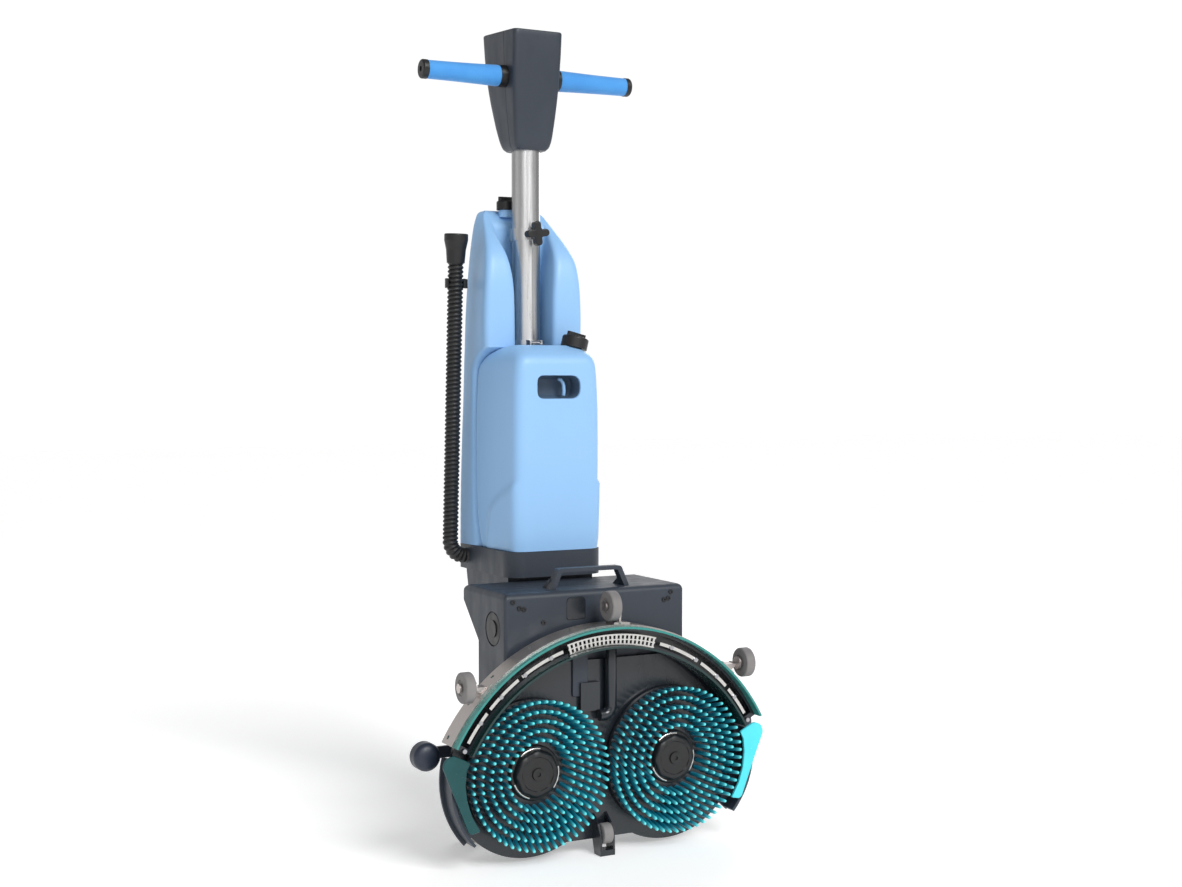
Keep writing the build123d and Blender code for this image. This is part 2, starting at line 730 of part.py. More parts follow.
bail_y = column_y - 202.0
bail_half_x = 50.0
bail_rise = 29.0
with BuildPart() as bail_handle:
    with BuildSketch(facing(bail_y + 7)):
        with BuildLine():
            outer = FilletPolyline(
                (-bail_half_x - 13, box_top_z),
                (-bail_half_x, box_top_z + bail_rise),
                (bail_half_x, box_top_z + bail_rise),
                (bail_half_x + 13, box_top_z),
                radius=6,
            )
            inner = FilletPolyline(
                (bail_half_x + 5, box_top_z),
                (bail_half_x - 5.5, box_top_z + bail_rise - 5.5),
                (-bail_half_x + 5.5, box_top_z + bail_rise - 5.5),
                (-bail_half_x - 5, box_top_z),
                radius=3,
            )
            Line(outer @ 1, inner @ 0)
            Line(inner @ 1, outer @ 0)
        make_face()
    extrude(amount=14)
    # each foot spreads backward over the box in a gusset
    for sign in sides.values():
        with BuildSketch(sideways(sign * (bail_half_x + 7) - 3)):
            with BuildLine():
                Polyline(
                    (bail_y + 6, box_top_z),
                    (bail_y + 6, box_top_z + 14),
                    (bail_y + 26, box_top_z),
                    (bail_y + 6, box_top_z),
                )
            make_face()
        extrude(amount=6)
bail_handle.part.label = "bail_handle"
export_step(bail_handle.part, "parts/bail_handle.step")

# ---------------------------------------------------------------- the deck plate
flange_r = 262.0            # the raised arch that the squeegee follows
shaft_r = 9.0
with BuildPart() as deck_plate:
    with BuildSketch(facing(box_front_y)):
        for sign in sides.values():
            with Locations((sign * brush_x, brush_z)):
                Circle(121)
        with BuildLine():
            Polyline(
                (-172, 236),
                (-box_half_x, 274),
                (box_half_x, 274),
                (172, 236),
                (150, 20),
                (-150, 20),
                (-172, 236),
            )
        make_face()
        with Locations((0, arch_z)):
            Circle(flange_r, mode=Mode.INTERSECT)
    extrude(amount=plate_t)
    # the arch's flange stands out a little beyond the squeegee's beam
    with BuildSketch(facing(box_front_y)):
        add(arch_ring(flange_r - 8, flange_r + 6, half_deg=34))
    extrude(amount=plate_t - 1)
    for sign in sides.values():
        with Locations((sign * brush_x, box_front_y - plate_t / 2, brush_z)):
            Cylinder(shaft_r + 2, 30, rotation=(90, 0, 0), mode=Mode.SUBTRACT)
    # the water channel's cover stands out between the brushes
    with BuildSketch(facing(plate_y)):
        with Locations((-18, 223)):
            Rectangle(30, 40)
    extrude(amount=7)
    # two sockets take the squeegee's float studs
    for deg in stud_degs:
        x, z = on_arch(stud_reach, deg)
        with Locations((x, box_front_y, z)):
            Cylinder(stud_r + 0.4, 30, rotation=(90, 0, 0), mode=Mode.SUBTRACT)
deck_plate.part.label = "deck_plate"
export_step(deck_plate.part, "parts/deck_plate.step")

# The cover behind the plate wraps both brush motors.
motor_r = 44.0
cover_back_y = column_y - 152.0
cover_half_x = 168.0
with BuildPart() as deck_rear_cover:
    for shrink, cut in ((0.0, Mode.ADD), (cover_t, Mode.SUBTRACT)):
        with BuildSketch(facing(cover_back_y - shrink)):
            with Locations((0, 118)):
                RectangleRounded(2 * (cover_half_x - shrink), 2 * (88 - 0.5 - shrink), 60 - shrink)
        extrude(amount=cover_back_y - box_front_y - 2 * shrink, mode=cut)
    for sign in sides.values():
        with Locations((sign * brush_x, box_front_y, brush_z)):
            Cylinder(shaft_r + 2, 30, rotation=(90, 0, 0), mode=Mode.SUBTRACT)
deck_rear_cover.part.label = "deck_rear_cover"
export_step(deck_rear_cover.part, "parts/deck_rear_cover.step")

with BuildPart() as brush_motors:
    with BuildSketch(facing(cover_back_y - cover_t - 1)):
        with Locations((-brush_x, brush_z), (brush_x, brush_z)):
            Circle(motor_r)
    extrude(amount=62)
    with BuildSketch(facing(cover_back_y - cover_t - 63)):
        with Locations((-brush_x, brush_z), (brush_x, brush_z)):
            Circle(26)
    extrude(amount=6)
    with Locations((-brush_x, box_front_y, brush_z), (brush_x, box_front_y, brush_z)):
        Cylinder(shaft_r + 0.4, 50, rotation=(90, 0, 0), mode=Mode.SUBTRACT)
brush_motors.part.label = "brush_motors"
export_step(brush_motors.part, "parts/brush_motors.step")

with BuildPart() as battery:
    with BuildSketch(sideways(-118)):
        with Locations((column_y - 184, 288)):
            RectangleRounded(72, 150, 5)
    extrude(amount=236)
battery.part.label = "battery"
export_step(battery.part, "parts/battery.step")

# ---------------------------------------------------------------- suction channel on the underside
pipe_x = 17.0
pipe_y = plate_y - 9.0
with BuildPart() as suction_pipe:
    with BuildSketch(Plane.XY.offset(198)):
        with Locations((pipe_x, pipe_y)):
            Circle(9)
            Circle(6.8, mode=Mode.SUBTRACT)
    extrude(amount=46)
    with BuildSketch(Plane.XY.offset(236)):
        with Locations((pipe_x, pipe_y)):
            Circle(8)
            Circle(6.8, mode=Mode.SUBTRACT)
    extrude(amount=6)
suction_pipe.part.label = "suction_pipe"
export_step(suction_pipe.part, "parts/suction_pipe.step")


# ---------------------------------------------------------------- the squeegee
band_t = 2.0
blade_t = 3.0
beam_outer = band_r - band_t - blade_t - 1.0
beam_inner = 246.0
band_hole_degs = (150.0, 139.0, 129.0, 115.0, 102.0, 78.0, 65.0, 51.0, 41.0, 30.0)
with BuildPart() as squeegee_band:
    with BuildSketch(facing(beam_back_y)):
        add(arch_ring(band_r - band_t, band_r))
    extrude(amount=34)
    for deg in band_hole_degs:
        x, z = on_arch(band_r, deg)
        with Locations(Location((x, beam_back_y - 12, z), (0, 90 - deg, 0))):
            Cylinder(3, 12, mode=Mode.SUBTRACT)
squeegee_band.part.label = "squeegee_band"
export_step(squeegee_band.part, "parts/squeegee_band.step")

with BuildPart() as squeegee_blades:
    with BuildSketch(facing(beam_back_y - 8)):
        add(arch_ring(band_r - band_t - blade_t, band_r - band_t))
    extrude(amount=beam_back_y - 8 - blade_tip_y)
    with BuildSketch(facing(beam_back_y - 8)):
        add(arch_ring(beam_inner - blade_t, beam_inner))
    extrude(amount=beam_back_y - 8 - blade_tip_y - 2)
squeegee_blades.part.label = "squeegee_blades"
export_step(squeegee_blades.part, "parts/squeegee_blades.step")

# The beam is a channel: a back and two walls, with the water drawn off through it.
with BuildPart() as squeegee_beam:
    with BuildSketch(facing(beam_back_y)):
        add(arch_ring(beam_inner, band_r - band_t - blade_t))
    extrude(amount=beam_back_y - beam_front_y)
    with BuildSketch(facing(beam_front_y + 22)):
        add(arch_ring(beam_inner + 3, beam_outer - 3, half_deg=arch_half_deg - 1.5))
    extrude(amount=22, mode=Mode.SUBTRACT)
    # two studs slide in the plate's sockets as the squeegee floats
    with BuildSketch(facing(plate_y + stud_depth)):
        for deg in stud_degs:
            with Locations(on_arch(stud_reach, deg)):
                Circle(stud_r)
    extrude(amount=plate_y + stud_depth - beam_back_y)
squeegee_beam.part.label = "squeegee_beam"
export_step(squeegee_beam.part, "parts/squeegee_beam.step")

# Bright strips close the channel each side of the grille in its middle.
strip_t = 3.0
grille_half_deg = 15.0
slot_degs = [90 + (i - 9.5) * 1.42 for i in range(20)]
with BuildPart() as channel_strips:
    for middle in (90 + 38.3, 90 - 38.3):
        with BuildSketch(facing(beam_front_y)):
            add(arch_ring(beam_inner + 1, beam_outer - 6, half_deg=22.5, middle_deg=middle))
        extrude(amount=strip_t)
    with BuildSketch(facing(beam_front_y)):
        add(arch_ring(beam_inner + 1, beam_outer - 4, half_deg=grille_half_deg))
        for reach in (beam_inner + 5.5, beam_inner + 11.5):
            for deg in slot_degs:
                with Locations(Location((*on_arch(reach, deg), 0), (0, 0, deg))):
                    SlotOverall(4.6, 2.6, mode=Mode.SUBTRACT)
    extrude(amount=strip_t)
channel_strips.part.label = "channel_strips"
export_step(channel_strips.part, "parts/channel_strips.step")

with BuildPart() as strip_screws:
    for deg in (151.6, 142, 132, 122, 112, 104, 76, 68, 58, 48, 38, 28.4):
        x, z = on_arch(beam_inner + 8.5, deg)
        if abs(deg - 90) > grille_half_deg + 1:
            with Locations((x, beam_front_y - strip_t - 0.8, z)):
                Cylinder(3, 1.6, rotation=(90, 0, 0))
strip_screws.part.label = "strip_screws"
export_step(strip_screws.part, "parts/strip_screws.step")

# Each support roller turns on a stub axle held by an L bracket on the band.
bracket_t = 3.0
bracket_side = {"left": 1, "top": 1, "right": -1}
with BuildPart() as roller_brackets:
    for name, deg in roller_degs.items():
        x, z = on_arch(roller_reach, deg)
        toward = bracket_side[name]
        arm_x = x + toward * (roller_w / 2 + 2.5 + bracket_t / 2)
        foot_deg = deg - toward * 3.2
        foot_z = on_arch(band_r, foot_deg)[1] + 0.5
        with BuildSketch(sideways(arm_x - bracket_t / 2)):
            with Locations((roller_y, z)):
                Circle(9)
            with BuildLine():
                Polyline(
                    (roller_y - 9, z),
                    (roller_y + 9, z),
                    (roller_y + 20, foot_z + 6),
                    (roller_y + 20, foot_z),
                    (roller_y - 4, foot_z),
                    (roller_y - 9, z),
                )
            make_face()
        extrude(amount=bracket_t)
        with BuildSketch(facing(beam_back_y - 10)):
            add(arch_ring(band_r, band_r + bracket_t, half_deg=2.6, middle_deg=foot_deg))
        extrude(amount=24)
        # the foot's ring meets the arm through a short web
        with BuildSketch(facing(beam_back_y - 10)):
            with BuildLine():
                Polyline(
                    (arm_x - bracket_t / 2, foot_z + 5),
                    (arm_x + bracket_t / 2, foot_z + 5),
                    on_arch(band_r + 1, foot_deg - 1.5),
                    on_arch(band_r + 1, foot_deg + 1.5),
                    (arm_x - bracket_t / 2, foot_z + 5),
                )
            make_face()
        extrude(amount=20)
        far_end = x - toward * (roller_w / 2 + 1)
        near_end = x + toward * (roller_w / 2 + 2.5)
        with Locations(((far_end + near_end) / 2, roller_y, z)):
            Cylinder(4, abs(near_end - far_end), rotation=(0, 90, 0))
        with Locations((far_end - toward * 1.2, roller_y, z)):
            Cylinder(6.5, 2.4, rotation=(0, 90, 0))
roller_brackets.part.label = "roller_brackets"
export_step(roller_brackets.part, "parts/roller_brackets.step")

for name, deg in roller_degs.items():
    x, z = on_arch(roller_reach, deg)
    with BuildPart() as support_roller:
        with BuildSketch(sideways(x - roller_w / 2)):
            with Locations((roller_y, z)):
                Circle(roller_r)
        extrude(amount=roller_w)
        fillet(support_roller.edges().filter_by(GeomType.CIRCLE), 2.5)
        with Locations((x, roller_y, z)):
            Cylinder(4.08, 40, rotation=(0, 90, 0), mode=Mode.SUBTRACT)
        with Locations((x - roller_w / 2, roller_y, z), (x + roller_w / 2, roller_y, z)):
            Cylinder(11, 2, rotation=(0, 90, 0), mode=Mode.SUBTRACT)
    support_roller.part.label = f"{name}_support_roller"
    export_step(support_roller.part, f"parts/{name}_support_roller.step")

# ---------------------------------------------------------------- the brushes
hub_front_y = column_y - 264.0
row_count = 5
row_inner_r = 47.0
row_outer_r = 96.0
row_w = 6.0
brush_front_y = brush_back_y - brush_disc_t
for side, sign in sides.items():
    centre = (sign * brush_x, brush_z)
    with BuildPart() as brush_disc:
        with BuildSketch(facing(brush_back_y)):
            with Locations(centre):
                Circle(101)
                Circle(30, mode=Mode.SUBTRACT)
        extrude(amount=brush_disc_t)
    brush_disc.part.label = f"{side}_brush_disc"
    export_step(brush_disc.part, f"parts/{side}_brush_disc.step")

    # five rings of bristle stand on the disc and lean outward
    with BuildPart() as bristles:
        for row in range(row_count):
            foot_r = row_inner_r + row * (row_outer_r - row_inner_r) / (row_count - 1)
            tip_r = foot_r + 3.0 + row * (bristle_r - row_outer_r - 6.0) / (row_count - 1)
            with BuildSketch(sideways(sign * brush_x)):
                with BuildLine():
                    Polyline(
                        (brush_front_y, brush_z + foot_r - row_w / 2),
                        (bristle_tip_y, brush_z + tip_r - row_w / 2),
                        (bristle_tip_y, brush_z + tip_r + row_w / 2),
                        (brush_front_y, brush_z + foot_r + row_w / 2),
                        (brush_front_y, brush_z + foot_r - row_w / 2),
                    )
                make_face()
        revolve(axis=Axis((centre[0], 0, centre[1]), (0, 1, 0)))
    bristles.part.label = f"{side}_bristles"
    export_step(bristles.part, f"parts/{side}_bristles.step")

    with BuildPart() as brush_hub:
        with BuildSketch(facing(brush_front_y)):
            with Locations(centre):
                Circle(38)
        extrude(amount=5)
        with BuildSketch(facing(brush_front_y - 5)):
            with Locations(centre):
                Circle(31)
        extrude(amount=4)
        fillet(brush_hub.faces().sort_by(Axis.Y)[0].edges(), 1.5)
        with BuildSketch(facing(brush_front_y - 9)):
            with Locations(centre):
                Circle(15)
        extrude(amount=brush_front_y - 9 - hub_front_y, taper=8)
        # three bayonet slots
        with BuildSketch(facing(brush_front_y - 2)):
            with Locations(centre):
                for turn in (90, 210, 330):
                    with Locations(Location((0, 0, 0), (0, 0, turn))):
                        SlotArc(CenterArc((0, 0), 23.5, -24, 48), 5)
        extrude(amount=20, mode=Mode.SUBTRACT)
        # the hub fills the disc's middle and its shaft reaches into the motor
        with BuildSketch(facing(brush_back_y)):
            with Locations(centre):
                Circle(30)
        extrude(amount=brush_disc_t)
        with BuildSketch(facing(box_front_y + 18)):
            with Locations(centre):
                Circle(shaft_r)
        extrude(amount=box_front_y + 18 - brush_back_y)
    brush_hub.part.label = f"{side}_brush_hub"
    export_step(brush_hub.part, f"parts/{side}_brush_hub.step")

# ---------------------------------------------------------------- splash guards and bumpers
guard_r = 124.0
guard_spans = {"left": (166.0, 222.0), "right": (-42.0, 14.0)}


def guard_ring(side, inner, outer, trim_deg=0.0):
    """A stretch of ring about one brush's axis, over that side's guard."""
    low, high = guard_spans[side]
    start = low + trim_deg
    sweep_deg = high - low - 2 * trim_deg
    with BuildSketch() as ring:
        with BuildLine():
            CenterArc((0, 0), outer, start, sweep_deg)
            CenterArc((0, 0), inner, start, sweep_deg)
            for deg in (radians(start), radians(start + sweep_deg)):
                Line(
                    (inner * cos(deg), inner * sin(deg)),
                    (outer * cos(deg), outer * sin(deg)),
                )
        make_face()
    return ring.sketch.moved(Location((sides[side] * brush_x, brush_z, 0)))


with BuildPart() as side_guards:
    for side in sides:
        with BuildSketch(facing(plate_y)):
            add(guard_ring(side, guard_r - 8, guard_r + 12))
        extrude(amount=3.5)
        with BuildSketch(facing(plate_y)):
            add(guard_ring(side, guard_r + 3, guard_r + 7))
        extrude(amount=30)
side_guards.part.label = "side_guards"
export_step(side_guards.part, "parts/side_guards.step")

with BuildPart() as side_skirts:
    for side in sides:
        with BuildSketch(facing(plate_y - 4)):
            add(guard_ring(side, guard_r + 0.5, guard_r + 3, trim_deg=1.0))
        extrude(amount=plate_y - 4 - blade_tip_y)
side_skirts.part.label = "side_skirts"
export_step(side_skirts.part, "parts/side_skirts.step")

for side, sign in sides.items():
    with BuildPart() as bumper_roller:
        with BuildSketch(sideways(sign * bumper_x)):
            with BuildLine():
                skirt = Polyline(
                    (bumper_y - 16, bumper_z),
                    (bumper_y - 12, bumper_z),
                    (bumper_y - 12, bumper_z + 4.08),
                    (bumper_y + 12, bumper_z + 4.08),
                    (bumper_y + 12, bumper_z + 16),
                    (bumper_y + 8, bumper_z + 19.5),
                    (bumper_y - 6, bumper_z + 19.5),
                )
                Spline(
                    skirt @ 1,
                    (bumper_y - 12, bumper_z + 16),
                    (bumper_y - 15, bumper_z + 9),
                    skirt @ 0,
                )
            make_face()
        revolve(axis=Axis((sign * bumper_x, 0, bumper_z), (0, 1, 0)))
    bumper_roller.part.label = f"{side}_bumper_roller"
    export_step(bumper_roller.part, f"parts/{side}_bumper_roller.step")

# ---------------------------------------------------------------- rear wheels and front foot
wheel_w = 17.0
with BuildPart() as cover_brackets:
    for sign in sides.values():
        with BuildSketch(facing(bumper_y + 13)):
            with Locations((sign * bumper_x, bumper_z)):
                Circle(10)
            with Locations((sign * (bumper_x + cover_half_x) / 2, bumper_z)):
                Rectangle(bumper_x - cover_half_x, 16)
        extrude(amount=-5)
        with Locations((sign * bumper_x, bumper_y + 1, bumper_z)):
            Cylinder(4, 24, rotation=(90, 0, 0))
    for sign in sides.values():
        x = sign * rear_wheel_x
        arm_x = x + sign * (wheel_w / 2 + 3)
        with BuildSketch(sideways(arm_x - 2.5)):
            with Locations((rear_wheel_y, rear_wheel_r)):
                Circle(13)
            with BuildLine():
                Polyline(
                    (rear_wheel_y - 2, rear_wheel_r - 12.8),
                    (rear_wheel_y + 4, rear_wheel_r + 12.3),
                    (cover_back_y, 84),
                    (cover_back_y, 50),
                    (rear_wheel_y - 2, rear_wheel_r - 12.8),
                )
            make_face()
        extrude(amount=5)
        inner_end = x - sign * (wheel_w / 2 + 1)
        with Locations(((arm_x + inner_end) / 2, rear_wheel_y, rear_wheel_r)):
            Cylinder(5, abs(arm_x - inner_end), rotation=(0, 90, 0))
cover_brackets.part.label = "cover_brackets"
export_step(cover_brackets.part, "parts/cover_brackets.step")

for side, sign in sides.items():
    x = sign * rear_wheel_x
    with BuildPart() as rear_wheel:
        with Locations((x, rear_wheel_y, rear_wheel_r)):
            Cylinder(rear_wheel_r, wheel_w, rotation=(0, 90, 0))
        fillet(rear_wheel.edges().filter_by(GeomType.CIRCLE), 3)
        with Locations((x, rear_wheel_y, rear_wheel_r)):
            Cylinder(5.08, 40, rotation=(0, 90, 0), mode=Mode.SUBTRACT)
    rear_wheel.part.label = f"{side}_rear_wheel"
    export_step(rear_wheel.part, f"parts/{side}_rear_wheel.step")

fork_y = column_y - 252.0
front_roller_r = 14.5
front_roller_z = 30.0
front_roller_w = 15.0
foot_half_x = 5.0
foot_half_y = 9.0
with BuildPart() as front_fork:
    for sign in sides.values():
        cheek_x = sign * (front_roller_w / 2 + 2.6)
        with BuildSketch(sideways(cheek_x - 1.6)):
            with BuildLine():
                Polyline(
                    (plate_y, 56),
                    (plate_y - 16, 44),
                    (fork_y - 8, front_roller_z),
                    (fork_y - foot_half_y, 0),
                    (fork_y + foot_half_y, 0),
                    (plate_y, 22),
                    (plate_y, 56),
                )
            make_face()
        extrude(amount=3.2)
    # the foot joins the two cheeks under the roller
    with Locations((0, fork_y, 4)):
        Box(front_roller_w + 8.4, 2 * foot_half_y, 8)
    with Locations((0, fork_y, front_roller_z)):
        Cylinder(3.5, front_roller_w + 5, rotation=(0, 90, 0))
front_fork.part.label = "front_fork"
export_step(front_fork.part, "parts/front_fork.step")

with BuildPart() as front_roller:
    with Locations((0, fork_y, front_roller_z)):
        Cylinder(front_roller_r, front_roller_w, rotation=(0, 90, 0))
    fillet(front_roller.edges().filter_by(GeomType.CIRCLE), 2)
    with Locations((0, fork_y, front_roller_z)):
        Cylinder(3.58, 30, rotation=(0, 90, 0), mode=Mode.SUBTRACT)
front_roller.part.label = "front_roller"
export_step(front_roller.part, "parts/front_roller.step")
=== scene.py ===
import bpy
import bmesh
from math import cos, pi, radians, sin, tan
from mathutils import Matrix, Vector


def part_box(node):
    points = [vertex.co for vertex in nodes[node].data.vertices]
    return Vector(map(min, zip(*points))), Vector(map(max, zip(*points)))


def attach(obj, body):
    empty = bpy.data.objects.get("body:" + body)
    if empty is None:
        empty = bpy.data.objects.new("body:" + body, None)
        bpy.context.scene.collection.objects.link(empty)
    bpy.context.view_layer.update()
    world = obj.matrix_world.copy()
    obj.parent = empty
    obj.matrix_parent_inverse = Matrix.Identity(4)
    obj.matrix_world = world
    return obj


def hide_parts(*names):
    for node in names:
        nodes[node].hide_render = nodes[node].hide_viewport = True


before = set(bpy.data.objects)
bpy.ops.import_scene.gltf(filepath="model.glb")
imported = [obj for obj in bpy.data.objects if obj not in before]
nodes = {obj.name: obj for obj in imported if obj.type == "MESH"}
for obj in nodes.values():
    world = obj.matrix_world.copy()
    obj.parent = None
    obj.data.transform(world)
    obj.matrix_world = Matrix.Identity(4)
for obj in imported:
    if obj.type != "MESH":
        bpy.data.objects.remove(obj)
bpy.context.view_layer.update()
mm = 0.001
columnY = (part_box("column_tube")[0].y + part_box("column_tube")[1].y) / 2     # the column tube's axis


def spot(x, y, z):
    # a place in mm, with y measured from the column's axis
    return Vector((x * mm, columnY + y * mm, z * mm))


def smoothMesh(obj, angle=40):
    # rounds the shading but keeps edges sharper than the angle
    mesh = obj.data
    for face in mesh.polygons:
        face.use_smooth = True
    bm = bmesh.new()
    bm.from_mesh(mesh)
    for edge in bm.edges:
        if len(edge.link_faces) == 2:
            edge.smooth = edge.calc_face_angle(0) < radians(angle)
    bm.to_mesh(mesh)
    bm.free()


def makePiece(name, verts, faces, material, body, slot, stands=(), angle=40):
    # a finished mesh that rides on a body and may stand for CAD nodes
    mesh = bpy.data.meshes.new(name)
    mesh.from_pydata([tuple(v) for v in verts], [], faces)
    mesh.validate()
    bm = bmesh.new()
    bm.from_mesh(mesh)
    bmesh.ops.recalc_face_normals(bm, faces=bm.faces)
    bm.to_mesh(mesh)
    bm.free()
    obj = bpy.data.objects.new(name, mesh)
    bpy.context.scene.collection.objects.link(obj)
    mesh.materials.append(material)
    smoothMesh(obj, angle)
    if stands:
        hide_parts(*stands)
    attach(obj, body)
    return obj


def ringFaces(sides, rows):
    # side faces between rings of points that follow each other, and a cap at each end
    faces = []
    for row in range(rows - 1):
        low, high = row * sides, (row + 1) * sides
        for k in range(sides):
            n = (k + 1) % sides
            faces.append((low + k, low + n, high + n, high + k))
    faces.append(tuple(range(sides)))
    faces.append(tuple(range((rows - 1) * sides, rows * sides)))
    return faces


def addForm(verts, faces, form):
    # joins a second form to the lists of a first
    start = len(verts)
    verts += form[0]
    faces += [tuple(i + start for i in face) for face in form[1]]


def tubeAlong(points, radii, sides=24):
    # rings of the given radii, one at each point, square to the path
    verts = []
    ref = Vector((0, 1, 0))
    for i, p in enumerate(points):
        ahead = points[min(i + 1, len(points) - 1)]
        behind = points[max(i - 1, 0)]
        axis = (ahead - behind).normalized()
        u = (ref - axis * ref.dot(axis)).normalized()
        w = axis.cross(u)
        for k in range(sides):
            a = 2 * pi * k / sides
            verts.append(p + (u * cos(a) + w * sin(a)) * radii[i])
    return verts, ringFaces(sides, len(points))


view = {
    "eye": (-1.122, columnY - 2.3209, 0.668),   # where the camera stands
    "turn": -28.0,                              # degrees, to the right of straight ahead
    "tip": -2.187,
    "lens": 51.47,
    "sensor": 36,
}


def makeCamera(v):
    cam = bpy.data.objects.new("camera", bpy.data.cameras.new("camera"))
    bpy.context.scene.collection.objects.link(cam)
    cam.data.lens = v["lens"]
    cam.data.sensor_width = v["sensor"]
    cam.location = v["eye"]
    cam.rotation_euler = (radians(90 + v["tip"]), 0, radians(v["turn"]))
    bpy.context.scene.camera = cam


room = {
    "wall": 1.02, "sides": 0.52, "ceiling": 0.26,       # how bright each part of the room is
    "ahead": (0.469, 0.883, 0),                         # the level way the camera looks
    "floorHalf": 14, "floorGrey": 0.9, "floorGlow": 0.30,
    "sun": 2.3, "sunAim": (-0.12, 0.80, -0.62), "sunWidth": 28,
    "box": {"place": (-1.5, -2.4, 2.2), "aim": (0, 0, 0.6), "size": (0.8, 1.8), "power": 9},
    "rim": {"place": (1.8, 1.6, 1.8), "aim": (0, 0, 0.7), "size": (0.8, 1.6), "power": 12},
}


def makeArea(name, place, aim, size, power):
    light = bpy.data.lights.new(name, "AREA")
    light.shape = "RECTANGLE"
    light.size, light.size_y = size
    light.energy = power
    obj = bpy.data.objects.new(name, light)
    bpy.context.scene.collection.objects.link(obj)
    obj.location = place
    obj.rotation_euler = (Vector(aim) - Vector(place)).to_track_quat("-Z", "Y").to_euler()


def makeWorld():
    # a white wall behind the machine, softer walls in front of it and a dimmer ceiling
    world = bpy.data.worlds.new("paleRoom")
    bpy.context.scene.world = world
    world.use_nodes = True
    tree = world.node_tree
    coords = tree.nodes.new("ShaderNodeTexCoord")
    parts = tree.nodes.new("ShaderNodeSeparateXYZ")
    height = tree.nodes.new("ShaderNodeMath")
    height.operation = "ABSOLUTE"
    tree.links.new(coords.outputs["Generated"], parts.inputs["Vector"])
    tree.links.new(parts.outputs["Z"], height.inputs[0])
    ahead = tree.nodes.new("ShaderNodeVectorMath")
    ahead.operation = "DOT_PRODUCT"
    ahead.inputs[1].default_value = room["ahead"]
    tree.links.new(coords.outputs["Generated"], ahead.inputs[0])
    wall = addRange(tree, ahead.outputs["Value"], room["sides"], room["wall"], 0.45, 0.85)
    above = addRange(tree, height.outputs["Value"], 1, 0, 0.3, 0.55)
    mix = tree.nodes.new("ShaderNodeMix")
    mix.inputs["A"].default_value = room["ceiling"]
    tree.links.new(above, mix.inputs["Factor"])
    tree.links.new(wall, mix.inputs["B"])
    tree.links.new(mix.outputs["Result"], tree.nodes["Background"].inputs["Strength"])
    tree.nodes["Background"].inputs["Color"].default_value = (1, 1, 1, 1)
    bpy.context.scene.view_settings.view_transform = "Standard"


def makeFloor():
    mesh = bpy.data.meshes.new("floor")
    half = room["floorHalf"]
    corners = [(-half, -half, 0), (half, -half, 0), (half, half, 0), (-half, half, 0)]
    mesh.from_pydata(corners, [], [(0, 1, 2, 3)])
    floor = bpy.data.objects.new("floor", mesh)
    bpy.context.scene.collection.objects.link(floor)
    paint = bpy.data.materials.new("paleFloor")
    paint.use_nodes = True
    shader = paint.node_tree.nodes["Principled BSDF"]
    grey = room["floorGrey"]
    shader.inputs["Base Color"].default_value = (grey, grey, grey, 1)
    shader.inputs["Roughness"].default_value = 0.9
    shader.inputs["Emission Color"].default_value = (1, 1, 1, 1)
    shader.inputs["Emission Strength"].default_value = room["floorGlow"]
    mesh.materials.append(paint)


def makeLights():
    sun = bpy.data.lights.new("sunLight", "SUN")
    sun.energy = room["sun"]
    sun.angle = radians(room["sunWidth"])
    key = bpy.data.objects.new("sunLight", sun)
    bpy.context.scene.collection.objects.link(key)
    key.rotation_euler = Vector(room["sunAim"]).to_track_quat("-Z", "Y").to_euler()
    makeArea("softBox", **room["box"])
    makeArea("rimLight", **room["rim"])


def newShader(name):
    material = bpy.data.materials.new(name)
    material.use_nodes = True
    tree = material.node_tree
    return material, tree, tree.nodes["Principled BSDF"]


def addNoise(tree, scale, detail=3.0, stretch=(1, 1, 1)):
    # noise in the piece's own space, drawn out along an axis if wanted
    coords = tree.nodes.new("ShaderNodeTexCoord")
    place = tree.nodes.new("ShaderNodeMapping")
    place.inputs["Scale"].default_value = stretch
    noise = tree.nodes.new("ShaderNodeTexNoise")
    noise.inputs["Scale"].default_value = scale
    noise.inputs["Detail"].default_value = detail
    tree.links.new(coords.outputs["Object"], place.inputs["Vector"])
    tree.links.new(place.outputs["Vector"], noise.inputs["Vector"])
    return noise.outputs["Fac"]


def addRange(tree, source, low, high, fromLow=0.3, fromHigh=0.7):
    span = tree.nodes.new("ShaderNodeMapRange")
    span.inputs["From Min"].default_value = fromLow
    span.inputs["From Max"].default_value = fromHigh
    span.inputs["To Min"].default_value = low
    span.inputs["To Max"].default_value = high
    tree.links.new(source, span.inputs["Value"])
    return span.outputs["Result"]


def addBlend(tree, factor, a, b):
    mix = tree.nodes.new("ShaderNodeMix")
    mix.data_type = "RGBA"
    mix.inputs["A"].default_value = (*a, 1)
    mix.inputs["B"].default_value = (*b, 1)
    tree.links.new(factor, mix.inputs["Factor"])
    return mix.outputs["Result"]


def addBump(tree, shader, height, distance, strength=1.0):
    bump = tree.nodes.new("ShaderNodeBump")
    bump.inputs["Strength"].default_value = strength
    bump.inputs["Distance"].default_value = distance
    tree.links.new(height, bump.inputs["Height"])
    tree.links.new(bump.outputs["Normal"], shader.inputs["Normal"])


